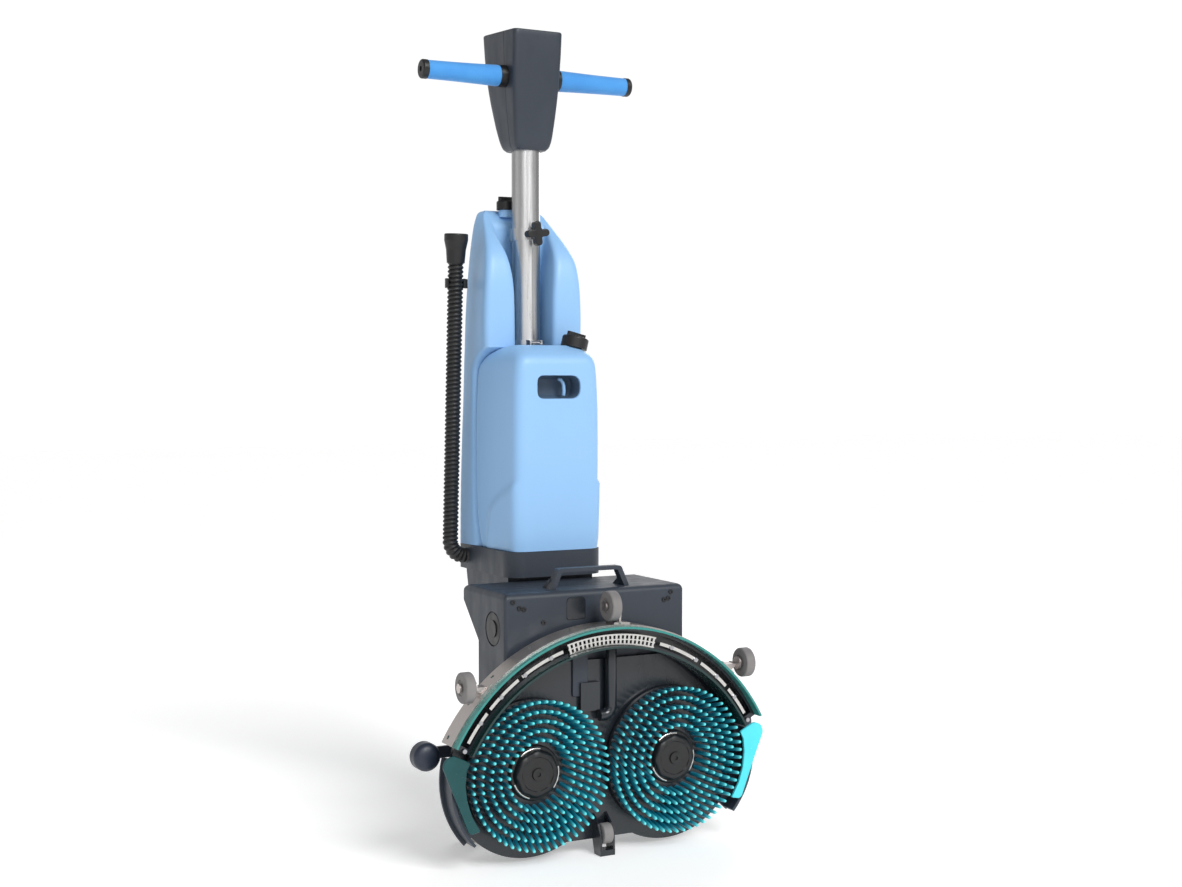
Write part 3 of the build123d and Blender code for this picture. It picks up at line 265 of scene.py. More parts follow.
def mouldedPlastic(name, base, worn, rough, grain, depth, coat=0.0, mottle=9.0):
    # soft colour drift, scuffs that dull the gloss, and a fine moulded grain
    material, tree, shader = newShader(name)
    drift = addRange(tree, addNoise(tree, mottle, 4), 0, 1)
    tree.links.new(addBlend(tree, drift, base, worn), shader.inputs["Base Color"])
    scuff = addNoise(tree, 60, 6, (1, 1, 0.35))
    tree.links.new(addRange(tree, scuff, *rough), shader.inputs["Roughness"])
    shader.inputs["Coat Weight"].default_value = coat
    shader.inputs["Coat Roughness"].default_value = 0.25
    addBump(tree, shader, addNoise(tree, grain, 2), depth)
    return material


drawn = {
    "scale": 900,
    "depth": 0.00002,
    "across": (0.883, -0.469, 0),       # level, and square to the way the camera looks
    "paintedReflectionBands": ((-1.0, 0.30), (-0.82, 0.42), (-0.6, 0.66), (-0.35, 0.50), (-0.1, 0.74), (0.35, 0.84),
              (0.62, 0.58), (0.85, 0.34), (1.0, 0.5)),      # how the surface faces, and the painted reflection grey there
    "tubeRough": (0.24, 0.38),
}


def drawnMetal(name, base, worn, rough, stretch):
    # fine streaks run the way the metal was drawn or brushed
    material, tree, shader = newShader(name)
    shader.inputs["Metallic"].default_value = 1.0
    streaks = addNoise(tree, drawn["scale"], 4, stretch)
    tree.links.new(addBlend(tree, addRange(tree, streaks, 0, 1), base, worn), shader.inputs["Base Color"])
    tree.links.new(addRange(tree, streaks, *rough), shader.inputs["Roughness"])
    addBump(tree, shader, streaks, drawn["depth"])
    return material


def drawnTube(name):
    # drawn aluminium with painted reflection: paler and darker bands that follow the way the surface
    # faces stand in for the room mirrored in the tube
    material, tree, shader = newShader(name)
    shader.inputs["Metallic"].default_value = 1.0
    # painted reflection: the grey is chosen by which way the surface faces
    shape = tree.nodes.new("ShaderNodeNewGeometry")
    facing = tree.nodes.new("ShaderNodeVectorMath")
    facing.operation = "DOT_PRODUCT"
    facing.inputs[1].default_value = drawn["across"]
    tree.links.new(shape.outputs["Normal"], facing.inputs[0])
    paintedReflectionBands = tree.nodes.new("ShaderNodeValToRGB")
    stops = drawn["paintedReflectionBands"]
    ramp = paintedReflectionBands.color_ramp
    ramp.interpolation = "EASE"
    while len(ramp.elements) < len(stops):
        ramp.elements.new(0.5)
    for element, (at, grey) in zip(ramp.elements, stops):
        element.position = (at + 1) / 2
        element.color = (grey, grey, grey * 1.01, 1)
    tree.links.new(addRange(tree, facing.outputs["Value"], 0, 1, -1, 1), paintedReflectionBands.inputs["Fac"])
    tree.links.new(paintedReflectionBands.outputs["Color"], shader.inputs["Base Color"])
    streaks = addNoise(tree, drawn["scale"], 4, (1, 1, 0.02))
    tree.links.new(addRange(tree, streaks, *drawn["tubeRough"]), shader.inputs["Roughness"])
    addBump(tree, shader, streaks, drawn["depth"])
    return material


def clearRubber(name, base, edge, rough, passes):
    # a see-through rubber whose tint thickens in patches
    material, tree, shader = newShader(name)
    drift = addRange(tree, addNoise(tree, 25, 4), 0, 1)
    tree.links.new(addBlend(tree, drift, base, edge), shader.inputs["Base Color"])
    tree.links.new(addRange(tree, addNoise(tree, 150, 3), *rough), shader.inputs["Roughness"])
    shader.inputs["Transmission Weight"].default_value = passes
    shader.inputs["IOR"].default_value = 1.35
    addBump(tree, shader, addNoise(tree, 400, 2), 0.00004)
    return material


def wovenGrip(name, base, worn):
    # a fine cross-hatched weave pressed in soft rubber
    material, tree, shader = newShader(name)
    drift = addRange(tree, addNoise(tree, 30, 4), 0, 1)
    tree.links.new(addBlend(tree, drift, base, worn), shader.inputs["Base Color"])
    tree.links.new(addRange(tree, addNoise(tree, 300, 3), 0.5, 0.75), shader.inputs["Roughness"])
    shader.inputs["Sheen Weight"].default_value = 0.2
    coords = tree.nodes.new("ShaderNodeTexCoord")
    heights = []
    for turn in (45, -45):
        place = tree.nodes.new("ShaderNodeMapping")
        place.inputs["Rotation"].default_value = (0, radians(turn), 0)
        wave = tree.nodes.new("ShaderNodeTexWave")
        wave.inputs["Scale"].default_value = 170
        tree.links.new(coords.outputs["Object"], place.inputs["Vector"])
        tree.links.new(place.outputs["Vector"], wave.inputs["Vector"])
        heights.append(wave.outputs["Fac"])
    both = tree.nodes.new("ShaderNodeMath")
    both.operation = "MULTIPLY"
    tree.links.new(heights[0], both.inputs[0])
    tree.links.new(heights[1], both.inputs[1])
    addBump(tree, shader, both.outputs["Value"], 0.0006, 0.8)
    return material


arch = {
    "centreZ": 52,
    "tealFrom": (0.256, 0.260),     # how far out, in m, the rubber turns from black to teal
    "strips": ((17.5, 33), (34.5, 47), (48.5, 59)),       # degrees each side of the top
    "stripR": (252.5, 257),
    "grille": (15, 20),         # half its angle, and the slots in each row
    "rails": ((246.5, 248.6), (253.3, 255), (259.8, 262)),
    "front": (-271.2, -274),
}


def archRubber(name, outer, inner, rough):
    # teal outside the arch's middle and nearly black inside it
    material, tree, shader = newShader(name)
    coords = tree.nodes.new("ShaderNodeTexCoord")
    place = tree.nodes.new("ShaderNodeMapping")
    place.inputs["Location"].default_value = (0, 0, -arch["centreZ"] * mm)
    place.inputs["Scale"].default_value = (1, 0, 1)
    size = tree.nodes.new("ShaderNodeVectorMath")
    size.operation = "LENGTH"
    tree.links.new(coords.outputs["Object"], place.inputs["Vector"])
    tree.links.new(place.outputs["Vector"], size.inputs[0])
    outward = addRange(tree, size.outputs["Value"], 0, 1, *arch["tealFrom"])
    tree.links.new(addBlend(tree, outward, inner, outer), shader.inputs["Base Color"])
    tree.links.new(addRange(tree, addNoise(tree, 150, 3), *rough), shader.inputs["Roughness"])
    addBump(tree, shader, addNoise(tree, 400, 2), 0.00004)
    return material


def bristleNylon(name, shadedRoot, tip, rootY, tipY):
    # painted shade darkens the root, and a painted highlight brightens the tip where it passes the light
    material, tree, shader = newShader(name)
    coords = tree.nodes.new("ShaderNodeTexCoord")
    parts = tree.nodes.new("ShaderNodeSeparateXYZ")
    tree.links.new(coords.outputs["Object"], parts.inputs["Vector"])
    along = addRange(tree, parts.outputs["Y"], 0, 1, rootY, tipY)
    curve = tree.nodes.new("ShaderNodeMath")
    curve.operation = "POWER"
    curve.inputs[1].default_value = 5.0         # keeps the painted highlight near the tip
    tree.links.new(along, curve.inputs[0])
    tree.links.new(addBlend(tree, curve.outputs["Value"], shadedRoot, tip), shader.inputs["Base Color"])
    tree.links.new(addRange(tree, addNoise(tree, 500, 3), 0.25, 0.42), shader.inputs["Roughness"])
    shader.inputs["Subsurface Weight"].default_value = 0.15
    shader.inputs["Subsurface Radius"].default_value = (0.002, 0.004, 0.004)
    addBump(tree, shader, addNoise(tree, 1200, 2, (1, 0.15, 1)), 0.0001)
    return material


makeCamera(view)
makeWorld()
makeFloor()
makeLights()
print("stage ready")


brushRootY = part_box("left_bristles")[1].y
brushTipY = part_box("left_bristles")[0].y
finish = {
    "slatePlastic": mouldedPlastic("slatePlastic", (0.024, 0.032, 0.046), (0.030, 0.039, 0.055),
                                   (0.36, 0.52), 1800, 0.00006),
    "darkGloss": mouldedPlastic("darkGloss", (0.010, 0.013, 0.018), (0.014, 0.018, 0.024),
                                (0.16, 0.3), 900, 0.00002, 0.3),
    "tankBlue": mouldedPlastic("tankBlue", (0.265, 0.490, 0.790), (0.275, 0.500, 0.800),
                               (0.40, 0.52), 700, 0.00004, 0.1, 4.0),
    # painted shade: a darker copy of the tank blue, used inside the finger recess
    "recessPaintedShadeBlue": mouldedPlastic("recessPaintedShadeBlue", (0.075, 0.120, 0.190), (0.085, 0.135, 0.205),
                                 (0.4, 0.52), 700, 0.00004),
    "blackPlastic": mouldedPlastic("blackPlastic", (0.006, 0.006, 0.007), (0.010, 0.010, 0.011),
                                   (0.3, 0.5), 1500, 0.00006),
    "hoseRubber": mouldedPlastic("hoseRubber", (0.009, 0.009, 0.010), (0.018, 0.018, 0.019),
                                 (0.38, 0.6), 1100, 0.00008),
    "greyTread": mouldedPlastic("greyTread", (0.175, 0.165, 0.165), (0.225, 0.212, 0.210),
                                (0.5, 0.72), 1300, 0.0001, 0, 25.0),
    "navyRoller": mouldedPlastic("navyRoller", (0.014, 0.020, 0.036), (0.020, 0.028, 0.048),
                                 (0.3, 0.5), 1300, 0.00006),
    "columnAluminium": drawnTube("columnAluminium"),
    "bandSteel": drawnMetal("bandSteel", (0.50, 0.45, 0.43), (0.60, 0.56, 0.54), (0.28, 0.45),
                            (0.2, 1, 0.2)),
    "brightStrip": drawnMetal("brightStrip", (0.58, 0.57, 0.55), (0.70, 0.69, 0.67), (0.14, 0.28),
                              (0.2, 1, 0.2)),
    "pinSteel": drawnMetal("pinSteel", (0.42, 0.42, 0.44), (0.52, 0.52, 0.54), (0.25, 0.4),
                           (1, 0.3, 1)),
    "bushBronze": drawnMetal("bushBronze", (0.45, 0.28, 0.12), (0.52, 0.34, 0.16), (0.3, 0.45),
                             (1, 1, 1)),
    "bladeRubber": archRubber("bladeRubber", (0.030, 0.230, 0.210), (0.008, 0.030, 0.030),
                              (0.12, 0.3)),
    # painted light: the right skirt is a bright lit copy of the teal rubber
    "litSkirtRubber": clearRubber("litSkirtRubber", (0.090, 0.760, 0.860), (0.115, 0.800, 0.890),
                               (0.12, 0.28), 0.15),
    # painted shade: the left skirt is a near-black copy of the same rubber
    "shadedLeftSkirtRubber": clearRubber("shadedLeftSkirtRubber", (0.012, 0.075, 0.080), (0.018, 0.095, 0.100),
                                   (0.12, 0.28), 0.2),
    "gripRubber": wovenGrip("gripRubber", (0.045, 0.290, 0.740), (0.060, 0.330, 0.780)),
    # painted shade at the root, painted highlight at the tip
    "bristleNylon": bristleNylon("bristleNylon", (0.003, 0.175, 0.265), (0.130, 0.760, 0.800),
                                 brushRootY, brushTipY),
    "boardGreen": mouldedPlastic("boardGreen", (0.010, 0.090, 0.040), (0.014, 0.110, 0.050),
                                 (0.3, 0.5), 900, 0.00003),
    "smokedLens": mouldedPlastic("smokedLens", (0.006, 0.008, 0.012), (0.009, 0.012, 0.017),
                                 (0.05, 0.12), 300, 0.00001, 0.5),
}
finishOf = {
    "slatePlastic": ("head_front_shell", "head_rear_shell", "deck_box", "base_front_cover",
                     "base_rear_housing", "bail_handle", "deck_rear_cover", "cover_brackets",
                     "side_guards"),
    "darkGloss": ("deck_plate", "squeegee_beam", "left_brush_disc", "right_brush_disc",
                  "front_fork"),
    "tankBlue": ("clean_tank", "recovery_tank"),
    "blackPlastic": ("head_panel", "grip_fittings", "star_knob", "filler_cap", "recovery_cap",
                     "hose_cuff", "hose_clip", "left_brush_hub", "right_brush_hub", "side_plugs",
                     "box_screws", "pump_button", "water_pump", "suction_pipe", "battery"),
    "hoseRubber": ("drain_hose",),
    "greyTread": ("left_support_roller", "top_support_roller", "right_support_roller",
                  "left_rear_wheel", "right_rear_wheel", "front_roller"),
    "navyRoller": ("left_bumper_roller", "right_bumper_roller", "fan_motor", "brush_motors"),
    "columnAluminium": ("column_tube", "tube_collars"),
    "bandSteel": ("squeegee_band", "roller_brackets"),
    "brightStrip": ("channel_strips",),
    "pinSteel": ("pivot_pin", "tank_latch", "handlebar_tube", "strip_screws"),
    "bushBronze": ("pivot_bushes",),
    "bladeRubber": ("squeegee_blades",),
    "litSkirtRubber": ("side_skirts",),
    "gripRubber": ("grips", "power_button"),
    "bristleNylon": ("left_bristles", "right_bristles"),
    "boardGreen": ("control_board",),
    "smokedLens": ("display_lens",),
}


def dressNodes():
    for name, chosen in finishOf.items():
        for node in chosen:
            obj = nodes[node]
            obj.data.materials.clear()
            obj.data.materials.append(finish[name])


dressNodes()
print("materials ready")


tuft = {
    "rows": ((47, 28), (59, 35), (71, 42), (83.5, 50), (96, 57)),   # foot radius in mm, and count
    "lean": (2.5, 6.6),         # how far inner and outer tips lean outward, in mm
    "twist": 2.5,               # degrees that a tip runs ahead of its foot
    "footRadius": 3.3,
    "tipRadius": 2.5,
    "sides": 9,
    "profile": ((0, 1.0), (0.3, 0.98), (0.7, 0.95), (0.92, 0.93), (0.975, 0.72), (0.998, 0.32)),
}       # the profile gives how far along the tuft, and its share of the radius there


def makeBrush(side, sign):
    low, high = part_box(f"{side}_bristles")
    centre = Vector(((low.x + high.x) / 2, 0, (low.z + high.z) / 2))
    verts, faces = [], []
    rows = tuft["rows"]
    grow = tuft["tipRadius"] - tuft["footRadius"]
    for row, (footR, count) in enumerate(rows):
        share = row / (len(rows) - 1)
        lean = tuft["lean"][0] + share * (tuft["lean"][1] - tuft["lean"][0])
        for k in range(count):
            a = 2 * pi * (k + 0.5 * (row % 2)) / count
            b = a + radians(tuft["twist"]) * sign
            foot = centre + Vector((cos(a) * footR * mm, high.y, sin(a) * footR * mm))
            tipR = (footR + lean) * mm
            tip = centre + Vector((cos(b) * tipR, low.y, sin(b) * tipR))
            points = [foot.lerp(tip, t) for t, _ in tuft["profile"]]
            radii = [(tuft["footRadius"] + t * grow) * w * mm for t, w in tuft["profile"]]
            addForm(verts, faces, tubeAlong(points, radii, tuft["sides"]))
    makePiece(f"{side}Tufts", verts, faces, finish["bristleNylon"], f"{side}_brush",
              "bristle_teal", (f"{side}_bristles",), 60)


for side, sign in (("left", -1), ("right", 1)):
    makeBrush(side, sign)
print("brush tufts ready")


hose = {
    "top": (-105, 25, 842),     # mm, with y from the column's axis
    "corner": (-105, 50, 398),
    "end": (-78, 50, 398),
    "bendRadius": 24,
    "pitch": 6.4,
    "ridge": 12.0,
    "valley": 9.8,
    "steps": 8,                 # rings in one pitch
}


def hoseLine(step):
    # two straight runs joined by one round bend
    top, corner, end = (spot(*hose[k]) for k in ("top", "corner", "end"))
    down, across = (corner - top).normalized(), (end - corner).normalized()
    r = hose["bendRadius"] * mm
    cut = r * tan(down.angle(across) / 2)
    start, stop = corner - down * cut, corner + across * cut
    centre = start + (across - down * across.dot(down)).normalized() * r
    points = []
    count = int((start - top).length / step)
    points += [top.lerp(start, i / count) for i in range(count)]
    arm, turn = start - centre, down.angle(across)
    count = int(r * turn / step)
    spin = down.cross(across).normalized()
    points += [centre + Matrix.Rotation(turn * i / count, 3, spin) @ arm for i in range(count)]
    count = max(int((end - stop).length / step), 1)
    points += [stop.lerp(end, i / count) for i in range(count + 1)]
    return points


def makeHose():
    step = hose["pitch"] * mm / hose["steps"]
    points = hoseLine(step)
    radii = []
    for i in range(len(points)):
        wave = 0.5 + 0.5 * cos(2 * pi * i / hose["steps"])
        radii.append((hose["valley"] + (hose["ridge"] - hose["valley"]) * wave ** 0.6) * mm)
    verts, faces = tubeAlong(points, radii, 28)
    makePiece("ribbedHose", verts, faces, finish["hoseRubber"], "column", "black_plastic",
              ("drain_hose",), 80)


makeHose()
print("hose ready")


def lookUp(table, z):
    # a smooth curve through rows of (height, value)
    if z <= table[0][0]:
        return table[0][1]
    for i in range(len(table) - 1):
        (z0, a), (z1, b) = table[i], table[i + 1]
        if z <= z1:
            before = table[max(i - 1, 0)]
            after = table[min(i + 2, len(table) - 1)]
            t = (z - z0) / (z1 - z0)
            m0 = (b - before[1]) / (z1 - before[0]) * (z1 - z0)
            m1 = (after[1] - a) / (after[0] - z0) * (z1 - z0)
            return ((2 * t ** 3 - 3 * t ** 2 + 1) * a + (t ** 3 - 2 * t ** 2 + t) * m0
                    + (3 * t ** 2 - 2 * t ** 3) * b + (t ** 3 - t ** 2) * m1)
    return table[-1][1]


def roundedRing(corners, arcSteps=6, edgeSteps=8):
    # a closed outline through corners of (x, y, radius), with the corners rounded
    count = len(corners)
    cuts = []
    for i, (x, y, r) in enumerate(corners):
        here = Vector((x, y))
        back = Vector(corners[i - 1][:2]) - here
        ahead = Vector(corners[(i + 1) % count][:2]) - here
        cut = min(r, 0.45 * back.length, 0.45 * ahead.length)
        cuts.append((here + back.normalized() * cut, here, here + ahead.normalized() * cut))
    ring = []
    for i, (a, c, b) in enumerate(cuts):
        for k in range(arcSteps + 1):
            t = k / arcSteps
            ring.append(a * (1 - t) ** 2 + c * 2 * t * (1 - t) + b * t ** 2)
        nextA = cuts[(i + 1) % count][0]
        ring += [b.lerp(nextA, k / edgeSteps) for k in range(1, edgeSteps)]
    return ring


def stackLoft(heights, outline, shape=None, arcSteps=6, edgeSteps=8):
    # outlines stacked by height and closed at both ends, each point bent by shape
    verts = []
    for z in heights:
        for p in roundedRing(outline(z), arcSteps, edgeSteps):
            point = (p.x, p.y, z) if shape is None else shape(p.x, p.y, z)
            verts.append(spot(*point))
    return verts, ringFaces(len(verts) // len(heights), len(heights))


def heightSteps(low, high, step, extra=()):
    count = max(int((high - low) / step), 1)
    return sorted({low + (high - low) * i / count for i in range(count + 1)} | set(extra))


def cutterFrom(verts, faces):
    # a bare closed form, there only to be cut or to cut with
    mesh = bpy.data.meshes.new("cutter")
    mesh.from_pydata([tuple(v) for v in verts], [], faces)
    bm = bmesh.new()
    bm.from_mesh(mesh)
    bmesh.ops.recalc_face_normals(bm, faces=bm.faces)
    bm.to_mesh(mesh)
    bm.free()
    obj = bpy.data.objects.new("cutter", mesh)
    bpy.context.scene.collection.objects.link(obj)
    return obj


def carve(verts, faces, cutters):
    # the form left when the cutters are taken away from it
    body = cutterFrom(verts, faces)
    for cutter in cutters:
        step = body.modifiers.new("cut", "BOOLEAN")
        step.operation = "DIFFERENCE"
        step.solver = "EXACT"
        step.object = cutter
    solid = body.evaluated_get(bpy.context.evaluated_depsgraph_get()).to_mesh()
    left = [v.co.copy() for v in solid.vertices], [tuple(f.vertices) for f in solid.polygons]
    for obj in (body, *cutters):
        bpy.data.objects.remove(obj)
    return left


def softStep(t):
    # 0 to 1 with level ends
    t = min(max(t, 0), 1)
    return t * t * (3 - 2 * t)


cleanTank = {
    "half": ((416, 73.5), (430, 75), (520, 77), (610, 77), (660, 75.5), (690, 73), (704, 68),
             (712, 61), (718, 52)),
    "taper": 8,                 # how much narrower the front is on each side
    "front": ((416, -109), (440, -110.5), (600, -112), (690, -110.5), (699, -108), (705, -102),
              (711, -91), (718, -76)),
    "rear": ((416, 6), (450, 14), (480, 17.5), (660, 18), (682, 16.5), (692, 10), (700, 0),
             (707, -12), (712, -26), (716, -44), (718, -58)),
    "corner": 17,
    "channel": (31, -30),       # half width, and how far forward it is cut
    "grip": (35, 639.5, 673),           # half width, low and high of the finger recess
    "cup": ((-125, -1.5), (-113.5, -1.5), (-111.5, -0.6), (-109, 0), (-82, 0.6), (-76, 5)),
    "paintedShade": (37, -108.5, -70),        # half width, front and rear of the painted shade in the recess
    "rib": ((8, -5), (12.5, -6.5), (15.5, -10), (17, -15), (17.5, -23.5), (17, -29.5)),
    "ribY": -92,
    "ribRadii": (0.0022, 0.0026, 0.0028, 0.0028, 0.0028, 0.0026),
    "sweep": ((416, -10), (446, -15), (478, -27), (503, -70), (521, -115), (540, -180)),
    "proud": 4.0,                       # how far the part in front of the sweep stands out
    "neck": (44, -68, 14),              # across, forward, and degrees that it leans
    "neckRadius": (16.5, 15.8),
}


def cleanOutline(z):
    t = cleanTank
    w, f, r, c = lookUp(t["half"], z), lookUp(t["front"], z), lookUp(t["rear"], z), t["corner"]
    v = w - t["taper"]
    return ((-v, f, c), (v, f, c), (w, r, 9), (-w, r, 9))


def sweepSides(x, y, z):
    # the lower front stands proud of each side, behind a soft edge that sweeps down and back
    side = softStep((abs(x) - 56) / 10)
    proud = softStep((lookUp(cleanTank["sweep"], z) - y) / 13) * side * cleanTank["proud"]
    return x + (proud if x > 0 else -proud), y, z


def columnChannel(z):
    # the slot behind the tank that the column stands in, the same at every height
    half, forward = cleanTank["channel"]
    return ((-half, forward, 24), (half, forward, 24), (half, 60, 1), (-half, 60, 1))


def fingerCup():
    # the recess, wider at its mouth and eased at its rear wall; each ring has its own inset
    w, low, high = cleanTank["grip"]
    middle, tall = (low + high) / 2, high - low
    ring = roundedRing([(-w, low, 11), (w, low, 17), (w, high, 17), (-w, high, 11)], 6, 2)
    verts = []
    for y, inset in cleanTank["cup"]:
        for p in ring:
            verts.append(spot(p.x * (1 - inset / w), y,
                              middle + (p.y - middle) * (1 - inset * 2 / tall)))
    return verts, ringFaces(len(ring), len(cleanTank["cup"]))


def fillerNeck():
    x, y, lean = cleanTank["neck"]
    wide, narrow = (r * mm for r in cleanTank["neckRadius"])
    base = spot(x, y, 700)
    up = Vector((sin(radians(lean)), 0, cos(radians(lean))))
    lift = (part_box("filler_cap")[0].z - base.z) + 0.001
    line = [base, base + up * (lift - 0.004), base + up * lift]
    return tubeAlong(line, (wide, wide, narrow), 32)


def shadeRecess(tank):
    # painted shade: the finger recess gets a darker blue that stands in for the shade inside it
    tank.data.materials.append(finish["recessPaintedShadeBlue"])
    _, low, high = cleanTank["grip"]
    half, front, rear = (v * mm for v in cleanTank["paintedShade"])
    for face in tank.data.polygons:
        c = face.center
        within = (low - 2) * mm < c.z < (high + 2) * mm
        if abs(c.x) < half and within and front < c.y - columnY < rear:
            face.material_index = 1


def makeCleanTank():
    heights = heightSteps(416, 712, 7.4, (714, 716, 717.2, 718))
    verts, faces = stackLoft(heights, cleanOutline, sweepSides, 6, 14)
    channel = stackLoft((400, 740), columnChannel, None, 10, 2)
    verts, faces = carve(verts, faces, (cutterFrom(*channel), cutterFrom(*fingerCup())))
    addForm(verts, faces, fillerNeck())
    tank = makePiece("cleanTankShell", verts, faces, finish["tankBlue"], "clean_tank",
                     "tank_blue", ("clean_tank",), 32)
    shadeRecess(tank)


def makeRecessRib():
    # a curved rib stands inside the recess
    high = cleanTank["grip"][2]
    line = [spot(x, cleanTank["ribY"], high + z) for x, z in cleanTank["rib"]]
    makePiece("recessRib", *tubeAlong(line, cleanTank["ribRadii"], 12), finish["tankBlue"],
              "clean_tank", "tank_blue")


makeCleanTank()
makeRecessRib()
print("clean tank ready")


recoveryTank = {
    "half": ((416, 76), (560, 78.5), (700, 80.5), (763, 82), (822, 79), (850, 75), (867, 70),
             (885, 63.5), (900, 58), (914, 53), (921, 49.5), (924.5, 45), (926, 40)),
    "rearHalf": ((416, 84), (480, 83.5), (560, 81), (650, 77), (763, 73), (828, 68.5), (889, 62),
                 (914, 57.5), (921, 54.5), (924.5, 50), (926, 44)),
    "front": ((600, -32), (800, -32), (822, -30.5), (845, -25), (865, -13), (885, 6), (900, 22),
              (914, 37), (921, 44), (924.5, 49), (926, 53)),
    "rear": ((416, 70), (905, 70), (916, 69), (922, 66.5), (924.5, 64), (926, 60)),
    "gap": 1.2,                 # to the clean tank, which fills the front lower down
    "channel": ((600, 31), (783, 32), (824, 35), (864, 41), (890, 45), (926, 46)),
    "channelRear": 26,
    "neck": (-16, 38, 915),
    "neckRadius": 11,
}


def recoveryOutline(z):
    t = recoveryTank
    w, wr = lookUp(t["half"], z), lookUp(t["rearHalf"], z)
    f, r, c = lookUp(t["front"], z), lookUp(t["rear"], z), lookUp(t["channel"], z)
    if z < 719:                 # beside the clean tank
        f = max(f, lookUp(cleanTank["rear"], z) + t["gap"])
    rear = max(t["channelRear"], f + 0.05)
    edge = 13 if f < 20 else 8
    inner = min(9, (rear - f) * 0.45)
    return ((-w, f, edge), (-c, f, inner), (-c + 2, rear, inner), (c - 2, rear, inner),
            (c, f, inner), (w, f, edge), (wr, r, 14), (-wr, r, 14))


def makeRecoveryTank():
    heights = heightSteps(416, 655, 16, (916, 919, 921, 923, 924.5, 925.5, 926))
    heights = sorted(set(heights) | set(heightSteps(660, 720, 2.5)) | set(heightSteps(725, 914, 7)))
    verts, faces = stackLoft(heights, recoveryOutline, None, 6, 6)
    neck = spot(*recoveryTank["neck"])
    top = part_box("recovery_cap")[0].z - 0.0004
    radius = recoveryTank["neckRadius"] * mm
    addForm(verts, faces, tubeAlong([neck, Vector((neck.x, neck.y, top))], (radius, radius), 28))
    makePiece("recoveryTankShell", verts, faces, finish["tankBlue"], "recovery_tank", "tank_blue",
              ("recovery_tank",), 32)


makeRecoveryTank()
print("recovery tank ready")


head = {
    "half": ((1012, 24.5), (1016, 28), (1024, 30.5), (1040, 32.5), (1060, 34.5), (1090, 37),
             (1119, 38.5), (1150, 39.7), (1186, 40.5)),
    "front": ((1012, -23.5), (1017, -27.5), (1024, -30), (1040, -33), (1090, -39), (1150, -44.5),
              (1186, -46.5)),
    "rear": ((1012, 27), (1017, 32), (1042, 43), (1060, 49), (1115, 64.5), (1150, 71.5),
             (1186, 76)),
    "corner": 8,
    "rise": 8,                  # how much higher the rear of the rim stands
    "rim": 3.2,
    "split": -8,                # where the front and rear shells meet
    "groove": (0.4, 0.7),       # the groove's half width and its depth
}


def headOutline(inset=0.0):
    t = head

    def outline(z):
        w, r = lookUp(t["half"], z) - inset, lookUp(t["rear"], z) - inset
        f = lookUp(t["front"], z) + inset
        return ((-w, f, t["corner"]), (w, f, t["corner"]), (w, r, 16), (-w, r, 16))
    return outline


def riseRim(x, y, z):
    return x, y, z + head["rise"] * softStep((z - 1120) / 66) * (y + 46) / 120


def splitGroove(s):
    # a thin wedge that cuts the line between the front and rear shells on one side
    half, depth = head["groove"]
    rim = ((-half, 1000), (half, 1000), (half, 1220), (-half, 1220))
    outer = [spot(s * 60, head["split"] + y, z) for y, z in rim]
    inner = [spot(s * (lookUp(head["half"], z) - depth), head["split"] + y, z) for y, z in rim]
    faces = [(0, 1, 2, 3), (4, 5, 6, 7), (0, 1, 5, 4), (1, 2, 6, 5), (2, 3, 7, 6), (3, 0, 4, 7)]
    return cutterFrom(outer + inner, faces)


def makeHead():
    # the outer wall, over the rim, then down inside to the panel
    rim = head["rim"]
    rings = [(headOutline()(z), z) for z in heightSteps(1012, 1184, 6, (1013, 1014.5, 1016))]
    for inset, z in ((0.6, 1185.8), (1.6, 1186.6), (rim, 1185.8), (rim + 0.4, 1184)):
        rings.append((headOutline(inset)(1186), z))
    verts = []
    for corners, z in rings:
        verts += [spot(*riseRim(p.x, p.y, z)) for p in roundedRing(corners, 8, 12)]
    flat = headOutline(rim + 0.8)(1184)
    verts += [spot(p.x, p.y, 1182) for p in roundedRing(flat, 8, 12)]
    levels = len(rings) + 1
    faces = ringFaces(len(verts) // levels, levels)
    verts, faces = carve(verts, faces, [splitGroove(s) for s in (-1, 1)])
    makePiece("headShell", verts, faces, finish["slatePlastic"], "column", "slate_plastic",
              ("head_front_shell", "head_rear_shell"), 35)


def makePanel():
    # the control panel lies sunk inside the rim
    rings = ((1182.6, 0), (1184.2, 0), (1184.8, 0.7))
    verts = []
    for z, inset in rings:
        corners = headOutline(head["rim"] + 1.2 + inset)(1184)
        verts += [spot(p.x, p.y, z) for p in roundedRing(corners, 8, 2)]
    faces = ringFaces(len(verts) // len(rings), len(rings))
    makePiece("sunkPanel", verts, faces, finish["blackPlastic"], "column", "black_plastic",
              ("head_panel",), 35)


makeHead()
makePanel()
print("head ready")


hub = {
    "profile": ((38, -246.5), (38.5, -250), (37, -252.5), (33.5, -253), (32.5, -257), (31, -260.5),
                (29, -262), (24, -262.6), (23, -261.4), (9, -261.4), (8.4, -263.6), (6.5, -264),
                (3.2, -264), (2.8, -262.4), (0.4, -262.4)),
    "sides": 96,
    "lobes": 8,
    "lobed": (23.5, 34),        # the radii between which the lobes show
    "lobeDepth": 0.02,
    "shaft": (6, -246.5, -211),         # radius and its two ends
    # the slot arcs below are painted highlights: bright tubes where the cap's edges catch the light
    "slotR": 34.5,
    "slotY": -254.5,
    "slotRadius": 1.9,
    "slots": ((200, 252), (320, 372), (440, 492)),      # degrees
    "slotSteps": 14,
}


def hubAxis(side):
    low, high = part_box(f"{side}_brush_hub")
    return (low.x + high.x) / 2 / mm, (low.z + high.z) / 2 / mm


